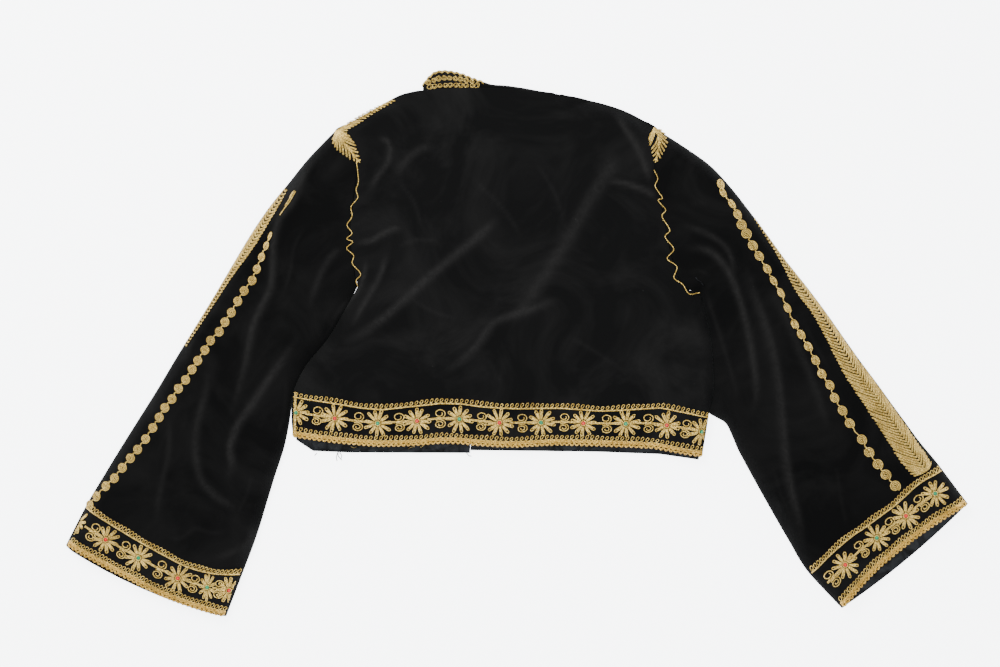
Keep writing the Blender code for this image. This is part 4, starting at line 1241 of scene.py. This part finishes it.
def feather_lines(which):
    """The feather's two edges and its rib, as equally many points from the shoulder down."""
    inner = along(spline(FEATHER_EDGE[which]), np.linspace(0, 1, FEATHER_POINTS))
    side = SIDE_SIGN[which]
    silhouette = spline(SLEEVES[which]["outer"])
    margin = np.interp(np.linspace(0, 1, FEATHER_POINTS), *zip(*FEATHER_MARGIN[which]))
    outer = []
    for here, inset in zip(inner, margin):
        nearest = silhouette[np.argmin(np.linalg.norm(silhouette - here, axis=1))]
        towards = here - nearest
        outer.append(nearest + towards / np.linalg.norm(towards) * inset)
    outer = np.array(outer)
    return inner, outer, inner + FEATHER_RIB[which] * (outer - inner), side


def feather(which, ground, gold, seed):
    """Barbs from a rib to each edge of the panel, leaning down to the rib."""
    rng = np.random.default_rng(seed)
    inner, outer, rib, side = feather_lines(which)
    length = np.linalg.norm(np.diff(rib, axis=0), axis=1).sum()
    lines = []
    for n in range(int(length / BARB_PITCH)):
        share = (n + 0.5) * BARB_PITCH / length
        for edge, turn in ((inner, -side), (outer, side)):
            tip, level = along(edge, [share])[0], along(rib, [share])[0]
            wide = np.linalg.norm(tip - level)
            foot = along(rib, [min(share + wide * BARB_LEAN / length, 1.0)])[0]
            lines.append(barb(tip + (level - tip) * rng.uniform(0, 0.08), foot, turn))
    obj = join_cords(f"feather_{which}_cords", [(lines, THIN_CORD, BARB_STEP, 0.0)], ground, gold)
    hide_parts(f"feather_{which}")
    return obj


# Leaves at the shoulder's points, from their tips up
LEAF_AXIS = {
    "left": ((-196, 226), (-207, 239), (-218, 253), (-227, 265)),
    "right": ((173, 226), (176, 240), (177, 256), (172, 270)),
}
LEAF_REACH = ((0.0, 1.5, 1.5), (0.2, 6.0, 5.5), (0.45, 10.5, 10.0), (0.75, 12.5, 10.5), (1.0, 6.0, 5.0))
LEAF_LEAN = 2.0
LEAF_PITCH = 4.6
LEAF_LIFT = 0.4


def leaf(which, ground, gold, seed):
    """The leaf at the shoulder's point: the same barbs on a short axis, and a cord along it."""
    rng = np.random.default_rng(seed)
    axis = spline(LEAF_AXIS[which])
    lines = barbs(axis, np.array(LEAF_REACH), ((1, 1), (-1, 2)), rng, LEAF_LEAN, LEAF_PITCH)
    parts = [(lines, THIN_CORD, BARB_STEP, LEAF_LIFT), ([axis], CORD, BARB_STEP, 0.0)]
    obj = join_cords(f"shoulder_leaf_{which}_cords", parts, ground, gold)
    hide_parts(f"shoulder_leaf_{which}")
    return obj


# The wavy cord along each armhole seam below the leaf
ARMHOLE_WAVE = {
    "left": (
        (-201, 229), (-198, 204), (-201, 192), (-199, 182), (-207.5, 171), (-206, 159), (-212.5, 148),
        (-206, 138),
        (-213, 131), (-205, 127), (-213, 119), (-204, 110), (-206, 100), (-195, 87), (-201, 79), (-199, 71),
    ),
    "right": (
        (171, 217), (176, 206), (172.5, 196), (182, 182), (176, 179), (186, 167), (181, 159),
        (191, 142), (185, 133),
        (196, 118), (187.5, 106), (200, 96), (196, 82), (207, 74), (215, 62), (229, 64),
    ),
}
WAVY_CORD = 0.6
WAVY_STEP = 1.4


def wavy_cord(which, ground, gold):
    line = spline(ARMHOLE_WAVE[which], 6)
    return join_cords(f"armhole_cord_{which}", [([line], WAVY_CORD, WAVY_STEP, 0.0)], ground, gold)


# Slanted stitches along the left shoulder's edge, from the neck down
STITCH_AXIS = ((-152, 306.5), (-180, 294), (-205, 280.5), (-228, 266))
STITCH_REACH = ((0.0, 2.0, 0.0), (0.3, 5.0, 0.0), (0.7, 8.5, 0.0), (1.0, 7.0, 0.0))
STITCH_LEAN = 1.9


def shoulder_stitches(ground, gold, seed):
    rng = np.random.default_rng(seed)
    lines = barbs(spline(STITCH_AXIS), np.array(STITCH_REACH), ((1, 1),), rng, STITCH_LEAN)
    return join_cords("shoulder_stitches_left", [(lines, THIN_CORD, STEP, 0.0)], ground, gold)


# Threads that have come loose at the hem
PALE_THREADS = (
    ((-208.6, -129.4), (-205, -131.2), (-201.6, -129.8)),
    ((-136, -132), (-133, -130.2), (-128, -129.6)),
    ((-121, -130.4), (-118, -129)),
)
DARK_THREADS = (
    ((-224, -136), (-223.5, -141), (-219, -146)), ((-224, -136), (-226, -142), (-225, -147)),
    ((-222, -136), (-219, -140), (-220, -144)), ((-250, -137), (-253, -140)),
    ((-63, -137), (-60, -140.5), (-57, -141)),
)
THREAD = {"pale": 0.25, "dark": 0.5}
THREAD_STEP = 1.0


def loose_threads(ground, finish):
    for tone, lines in (("pale", PALE_THREADS), ("dark", DARK_THREADS)):
        join_cords(f"loose_threads_{tone}", [(lines, THREAD[tone], THREAD_STEP, 0.0)], ground, finish[tone])


COLLAR_SCALLOPS = 11
COLLAR_SCALLOP_DEPTH = 2.2
COLLAR_SCALLOP_INSET = 0.6
COLLAR_EDGING = (0.0, 1.3)
COLLAR_SCROLLS = (0.12, 0.9, 10)
COLLAR_SCROLL_ROOM = 4.0


def collar_cords(ground, gold, seed):
    """Two rows of small scrolls and a scalloped edge on the stretch of the collar that shows."""
    rng = np.random.default_rng(seed)
    shares = np.linspace(0.03, 0.46, 60)
    neck = along(spline(NECK_BACK), shares)
    shown = np.interp(shares, *zip(*[(share, out) for share, out, _ in COLLAR_BACK]))
    edge = neck + np.column_stack([np.zeros(60), shown + COLLAR_CLEARANCE])
    t = np.linspace(0, 1, COLLAR_SCALLOPS * 8 + 1)
    base = along(edge, t)
    edging = []
    for inset in COLLAR_EDGING:
        wave = COLLAR_SCALLOP_DEPTH * np.abs(np.sin(math.pi * t * COLLAR_SCALLOPS))
        edging.append(base + np.column_stack([0 * t, wave - inset - COLLAR_SCALLOP_INSET]))
    lines = []
    for share in np.linspace(*COLLAR_SCROLLS):
        low, high = along(neck, [share])[0], along(edge, [share])[0]
        for up in (0.16, 0.56):
            if (high - low)[1] * (0.9 - up) > COLLAR_SCROLL_ROOM:
                here = low + (high - low) * up + (rng.uniform(-1, 1), 1.5)
                lines += scroll(here, rng.uniform(-0.9, 0.9), rng.uniform(0.42, 0.56), 1 if up < 0.5 else -1)
    parts = [(lines, LOOP_CORD, 1.0, 0.0), (edging, THIN_CORD, 1.0, 0.0)]
    return join_cords("collar_cords", parts, ground, gold)


# Finishes
def node_group(material_name):
    """A new material, with its node tree and a function that adds and links nodes."""
    made = bpy.data.materials.new(material_name)
    made.use_nodes = True
    tree = made.node_tree
    shader = tree.nodes["Principled BSDF"]

    def add(kind, inputs=(), **settings):
        node = tree.nodes.new(kind)
        for key, value in settings.items():
            setattr(node, key, value)
        for key, value in dict(inputs).items():
            if isinstance(value, bpy.types.NodeSocket):
                tree.links.new(value, node.inputs[key])
            else:
                node.inputs[key].default_value = value
        return node

    return made, tree, shader, add


def mix(add, factor, a, b):
    """A colour mix of two colours or sockets."""
    node = add("ShaderNodeMix", data_type="RGBA")
    for index, value in ((0, factor), (6, a), (7, b)):
        if isinstance(value, bpy.types.NodeSocket):
            node.id_data.links.new(value, node.inputs[index])
        else:
            node.inputs[index].default_value = value
    return node.outputs[2]


def span(add, value, low, high, to_low=0.0, to_high=1.0):
    ends = {"From Min": low, "From Max": high, "To Min": to_low, "To Max": to_high}
    return add("ShaderNodeMapRange", {"Value": value, **ends}).outputs["Result"]


def noise(add, place, scale, detail, roughness=0.5, distortion=0.0):
    values = {"Scale": scale, "Detail": detail, "Roughness": roughness, "Distortion": distortion}
    return add("ShaderNodeTexNoise", {"Vector": place, **values}).outputs["Fac"]


def maths(add, operation, a, b=0.0):
    node = add("ShaderNodeMath", operation=operation)
    for index, value in ((0, a), (1, b)):
        if isinstance(value, bpy.types.NodeSocket):
            node.id_data.links.new(value, node.inputs[index])
        else:
            node.inputs[index].default_value = value
    return node.outputs[0]


VELVET_DARK = (0.0026, 0.0026, 0.0026, 1)
VELVET_BRUSHED = (0.0085, 0.0083, 0.0081, 1)
# Grey of the painted highlight on the fold crests
VELVET_CREST_HIGHLIGHT = (0.0165, 0.016, 0.0155, 1)
LINT = (0.09, 0.09, 0.085, 1)
COMMON_CELLS = 0.93  # share of the specks' cells that hold none


def velvet_finish(name, tone):
    """Short black pile: greyer at random where it is brushed, with a painted highlight along the fold crests,
    and a few specks of lint.
    """
    made, tree, shader, add = node_group(name)
    place = add("ShaderNodeTexCoord").outputs["Object"]
    brushed = noise(add, place, 9.0, 4.0, 0.6, 1.2)
    highlight_streaks = noise(add, place, 60.0, 5.0, 0.65, 2.5)
    pile = noise(add, place, 2600.0, 2.0, 0.6)
    crest_highlight = add("ShaderNodeAttribute", attribute_name="painted_crest_highlight").outputs["Fac"]
    soft = span(add, brushed, 0.42, 0.7)
    tones = (VELVET_DARK, VELVET_BRUSHED, VELVET_CREST_HIGHLIGHT)
    # A tone below 1 darkens this copy of the velvet as painted shade
    dark, brushed_tone, crest_highlight_tone = ([tone * part for part in colour[:3]] + [1] for colour in tones)
    colour = mix(add, maths(add, "MULTIPLY", soft, 0.6), dark, brushed_tone)
    # Painted highlight: the crests' grey, broken into streaks
    lit = maths(add, "MULTIPLY", crest_highlight, span(add, highlight_streaks, 0.3, 0.7, 0.45, 1.0))
    colour = mix(add, lit, colour, crest_highlight_tone)
    lint = add("ShaderNodeTexVoronoi", {"Vector": place, "Scale": 95.0, "Randomness": 1.0})
    speck = span(add, lint.outputs["Distance"], 0.035, 0.02)
    cell = add("ShaderNodeSeparateColor", {"Color": lint.outputs["Color"]}).outputs[0]
    rare = maths(add, "GREATER_THAN", cell, COMMON_CELLS)
    shown = maths(add, "MULTIPLY", maths(add, "MULTIPLY", speck, rare), 0.5)
    colour = mix(add, shown, colour, LINT)
    tree.links.new(colour, shader.inputs["Base Color"])
    tree.links.new(span(add, pile, 0.2, 0.8, 0.85, 1.0), shader.inputs["Roughness"])
    shader.inputs["Specular IOR Level"].default_value = 0.03
    shader.inputs["Sheen Weight"].default_value = 0.03
    shader.inputs["Sheen Roughness"].default_value = 0.45
    shader.inputs["Sheen Tint"].default_value = (0.92, 0.94, 0.95, 1)
    bump = add("ShaderNodeBump", {"Height": pile, "Strength": 0.35, "Distance": 0.0005})
    tree.links.new(bump.outputs["Normal"], shader.inputs["Normal"])
    return made


# Satin colours for the painted shade in the wrinkles' hollows and the painted light on their tops
SATIN_SHADED = (0.0006, 0.0007, 0.0009, 1)
SATIN_LIT = (0.019, 0.021, 0.024, 1)


def satin_finish(name):
    """The lining: dark satin with fine threads one way and small wrinkles, painted lighter on the wrinkles'
    tops and darker in their hollows.
    """
    made, tree, shader, add = node_group(name)
    place = add("ShaderNodeTexCoord").outputs["Object"]
    stretched = add("ShaderNodeMapping", {"Vector": place, "Scale": (1.0, 0.12, 1.0)}).outputs["Vector"]
    threads = noise(add, stretched, 1800.0, 2.0)
    wrinkles = noise(add, place, 55.0, 4.0, 0.6, 1.0)
    # Painted light and shade: the colour follows the wrinkles' height, lighter on their tops
    colour = mix(add, span(add, wrinkles, 0.35, 0.7), SATIN_SHADED, SATIN_LIT)
    tree.links.new(colour, shader.inputs["Base Color"])
    tree.links.new(span(add, threads, 0.2, 0.8, 0.42, 0.6), shader.inputs["Roughness"])
    shader.inputs["Specular IOR Level"].default_value = 0.09
    fine = add("ShaderNodeBump", {"Height": threads, "Strength": 0.25, "Distance": 0.0003})
    folds = {"Height": wrinkles, "Strength": 0.8, "Distance": 0.004}
    bump = add("ShaderNodeBump", {**folds, "Normal": fine.outputs["Normal"]})
    tree.links.new(bump.outputs["Normal"], shader.inputs["Normal"])
    return made


# Cord tones: deep is the painted shade on a cord's sides and also its tarnish, middle its painted highlight
# on top, bright its painted glints
GOLD = ((0.055, 0.028, 0.005, 1), (0.45, 0.28, 0.05, 1), (0.94, 0.69, 0.21, 1))
YELLOW_GOLD = ((0.06, 0.028, 0.003, 1), (0.42, 0.23, 0.028, 1), (0.85, 0.55, 0.12, 1))
STRANDS = 2


def gold_finish(name, deep, middle, bright):
    """Metal-wound cord: strands twisted along it, with painted highlight on the cord's top and the strands'
    crests, painted shade on its sides, painted glints, and uneven tarnish.
    """
    made, tree, shader, add = node_group(name)
    coords = add("ShaderNodeTexCoord")
    uv = add("ShaderNodeSeparateXYZ", {"Vector": coords.outputs["UV"]})
    along_it, round_it = (maths(add, "MULTIPLY", uv.outputs[axis], 2 * math.pi * STRANDS) for axis in "XY")
    phase = maths(add, "ADD", along_it, round_it)
    strand = span(add, maths(add, "SINE", phase), -1.0, 1.0)
    tarnish = noise(add, coords.outputs["Object"], 38.0, 4.0, 0.65)
    glint = noise(add, coords.outputs["Object"], 900.0, 1.0)
    # Painted highlight on the cord's top and the strands' crests, painted shade on its sides
    crest_highlight = span(add, maths(add, "SINE", maths(add, "MULTIPLY", uv.outputs["Y"], 2 * math.pi)), 0.05, 0.85)
    lit = maths(add, "MULTIPLY", crest_highlight, span(add, strand, 0.0, 0.8, 0.55, 1.0))
    colour = mix(add, lit, deep, middle)
    # Painted glints on the cord's top
    sparkle = maths(add, "MULTIPLY", span(add, glint, 0.47, 0.62), crest_highlight)
    colour = mix(add, sparkle, colour, bright)
    worn = maths(add, "MULTIPLY", span(add, tarnish, 0.5, 0.75), 0.45)
    colour = mix(add, worn, colour, deep)
    tree.links.new(colour, shader.inputs["Base Color"])
    tree.links.new(span(add, tarnish, 0.3, 0.7, 0.36, 0.55), shader.inputs["Roughness"])
    shader.inputs["Metallic"].default_value = 0.6
    shader.inputs["Specular IOR Level"].default_value = 0.25
    bump = add("ShaderNodeBump", {"Height": strand, "Strength": 0.7, "Distance": 0.0005})
    tree.links.new(bump.outputs["Normal"], shader.inputs["Normal"])
    return made


def stone_finish(name, deep, light):
    """A small glass stone on a foil back, lighter in patches where it catches the light."""
    made, tree, shader, add = node_group(name)
    place = add("ShaderNodeTexCoord").outputs["Object"]
    facets = add("ShaderNodeTexVoronoi", {"Vector": place, "Scale": 700.0})
    colour = mix(add, span(add, facets.outputs["Distance"], 0.1, 0.6), light, deep)
    tree.links.new(colour, shader.inputs["Base Color"])
    shader.inputs["Roughness"].default_value = 0.25
    shader.inputs["Specular IOR Level"].default_value = 0.3
    return made


def finishes():
    return {
        "velvet": velvet_finish("black_velvet", 1.0),
        # The same velvet made darker on the sleeves, as painted shade
        "sleeve": velvet_finish("black_velvet_sleeves_shaded", 0.66),
        "lining": satin_finish("black_satin"),
        "gold": gold_finish("gold_cord", *GOLD),
        "braid": gold_finish("gold_braid", *YELLOW_GOLD),
        "red": stone_finish("red_glass", (0.36, 0.008, 0.004, 1), (0.6, 0.03, 0.012, 1)),
        "green": stone_finish("green_glass", (0.002, 0.12, 0.045, 1), (0.008, 0.33, 0.13, 1)),
    }


# Photograph: its pixels, and the jacket's place in it
PIXEL = 1.25
PICTURE = (1000, 667)
PICTURE_CENTRE = (-21.25, 12.5)
CAMERA_HEIGHT = 2400.0
SENSOR = 36.0
SQUARE = ((-1, -1), (1, -1), (1, 1), (-1, 1))
FLOOR_HALF = 14.0
FLOOR_HEIGHT = -0.0004
PAPER = ((0.90, 0.915, 0.93, 1), (0.93, 0.94, 0.95, 1))
WORLD_LIGHT = 1.25
PAPER_GLOW = 4.9

# The part of the floor under the back, which stays in its shade
SHADED_CENTRE = (-0.03, 0.12, 0.0)
SHADED_REACH = (0.185, 0.205, 1.0)
LAMPS = (
    # name, place in metres, size in metres, power in watts
    ("key", (-1.4, 1.6, 1.9), (1.6, 1.2), 120.0),
    ("top", (0.3, -0.2, 2.8), (2.2, 1.6), 70.0),
)


def studio():
    """Pale floor, soft light from above and the upper left, and the camera straight overhead."""
    floor_mesh = bpy.data.meshes.new("floor")
    corners = [(x * FLOOR_HALF, y * FLOOR_HALF, FLOOR_HEIGHT) for x, y in SQUARE]
    floor_mesh.from_pydata(corners, [], [(0, 1, 2, 3)])
    floor = bpy.data.objects.new("floor", floor_mesh)
    bpy.context.scene.collection.objects.link(floor)
    paper, tree, shader, add = node_group("pale_paper")
    place = add("ShaderNodeTexCoord").outputs["Object"]
    grain = noise(add, place, 3.0, 3.0)
    shade = {"Vector": place, "Location": SHADED_CENTRE, "Scale": SHADED_REACH}
    from_centre = add("ShaderNodeMapping", shade, vector_type="TEXTURE").outputs["Vector"]
    distance = add("ShaderNodeVectorMath", {"Vector": from_centre}, operation="LENGTH").outputs["Value"]
    tree.links.new(span(add, distance, 0.85, 1.0, 0.0, PAPER_GLOW), shader.inputs["Emission Strength"])
    tree.links.new(mix(add, grain, *PAPER), shader.inputs["Base Color"])
    shader.inputs["Emission Color"].default_value = (0.96, 0.98, 1.0, 1)
    shader.inputs["Roughness"].default_value = 0.8
    floor_mesh.materials.append(paper)
    world = bpy.data.worlds.new("studio")
    world.use_nodes = True
    world.node_tree.nodes["Background"].inputs["Color"].default_value = (0.93, 0.96, 1.0, 1)
    world.node_tree.nodes["Background"].inputs["Strength"].default_value = WORLD_LIGHT
    bpy.context.scene.world = world
    for name, place, size, power in LAMPS:
        lamp = bpy.data.lights.new(name, "AREA")
        lamp.shape = "RECTANGLE"
        lamp.size, lamp.size_y = size
        lamp.energy = power
        holder = bpy.data.objects.new(name, lamp)
        holder.location = place
        holder.rotation_mode = "QUATERNION"
        holder.rotation_quaternion = (-Vector(place)).to_track_quat("-Z", "Y")
        bpy.context.scene.collection.objects.link(holder)
    camera = bpy.data.cameras.new("overhead")
    camera.sensor_width = SENSOR
    camera.lens = SENSOR * (CAMERA_HEIGHT - BODY_HEIGHT) / (PICTURE[0] * PIXEL)
    eye = bpy.data.objects.new("overhead", camera)
    eye.location = (PICTURE_CENTRE[0] * MM, PICTURE_CENTRE[1] * MM, CAMERA_HEIGHT * MM)
    bpy.context.scene.collection.objects.link(eye)
    bpy.context.scene.camera = eye


# How far a cuff band's lower and upper edges lie from the cloth's own lines, at shares of its length
CUFF_WAVES = {
    "left": (
        (0.0, 2.0, 4.5), (0.2, 3.0, 1.5), (0.4, 3.0, -2.5), (0.55, 1.0, -6.0), (0.7, 0.0, -9.5),
        (0.85, 0.0, -8.0), (1.0, 0.0, -1.0),
    ),
    "right": (
        (0.0, 0.0, 3.0), (0.13, 2.0, 2.5), (0.33, 2.5, 0.0), (0.42, 1.0, -2.5), (0.62, 0.0, -4.0),
        (0.72, 0.0, -2.0),
        (0.85, 0.0, 2.0), (1.0, 0.5, 1.0),
    ),
}


def waved(which, low, high):
    """The cuff band's lower and upper edges, moved along the sleeve by its wave."""
    share, lower, upper = spline(CUFF_WAVES[which]).T
    at = np.linspace(0, 1, len(low))
    up = (high - low) / np.linalg.norm(high - low, axis=1)[:, None]
    moves = [np.interp(at, share, move)[:, None] * up for move in (lower, upper)]
    return low + np.maximum(moves[0], 0), high + moves[1]


def main():
    studio()
    finish = finishes()
    back = back_shell(finish["velvet"], finish["lining"])
    sleeves = {which: sleeve_shell(which, finish["sleeve"], finish["lining"]) for which in ("left", "right")}
    fronts = {which: front_shell(which, finish["velvet"], finish["lining"]) for which in ("left", "right")}
    collar = collar_shell(finish["velvet"])
    for which in ("left", "right"):
        front_collar_shell(which, finish["velvet"])
    grid = back_grid()
    ground = Ground([back])
    band("hem_band", grid[0, :, :2], grid[BAND_ROWS - 1, :, :2], HEM_SEATS, ground, finish, 1, end_cords=True)
    for seed, which in enumerate(("left", "right")):
        ground = Ground([sleeves[which]])
        top = sleeve_plans(which)[0]
        start = BAND_SECTION * 2 * SLEEVE_ROWS_PER_SPAN
        low, high = (top[-1], top[start]) if which == "left" else (top[-1, ::-1], top[start, ::-1])
        low, high = waved(which, low, high)
        band(f"cuff_band_{which}", low, high, CUFF_SEATS[which], ground, finish, 10 + seed)
        chain(which, ground, finish["gold"])
        feather(which, ground, finish["gold"], 20 + seed)
        both = Ground([back, sleeves[which]])
        leaf(which, both, finish["gold"], 30 + seed)
        wavy_cord(which, both, finish["gold"])
    shoulder_stitches(Ground([back, sleeves["left"]]), finish["gold"], 50)
    collar_cords(Ground([collar]), finish["gold"], 40)
    threads = {"pale": finish["gold"], "dark": finish["lining"]}
    loose_threads(Ground([fronts["left"], back]), threads)


main()
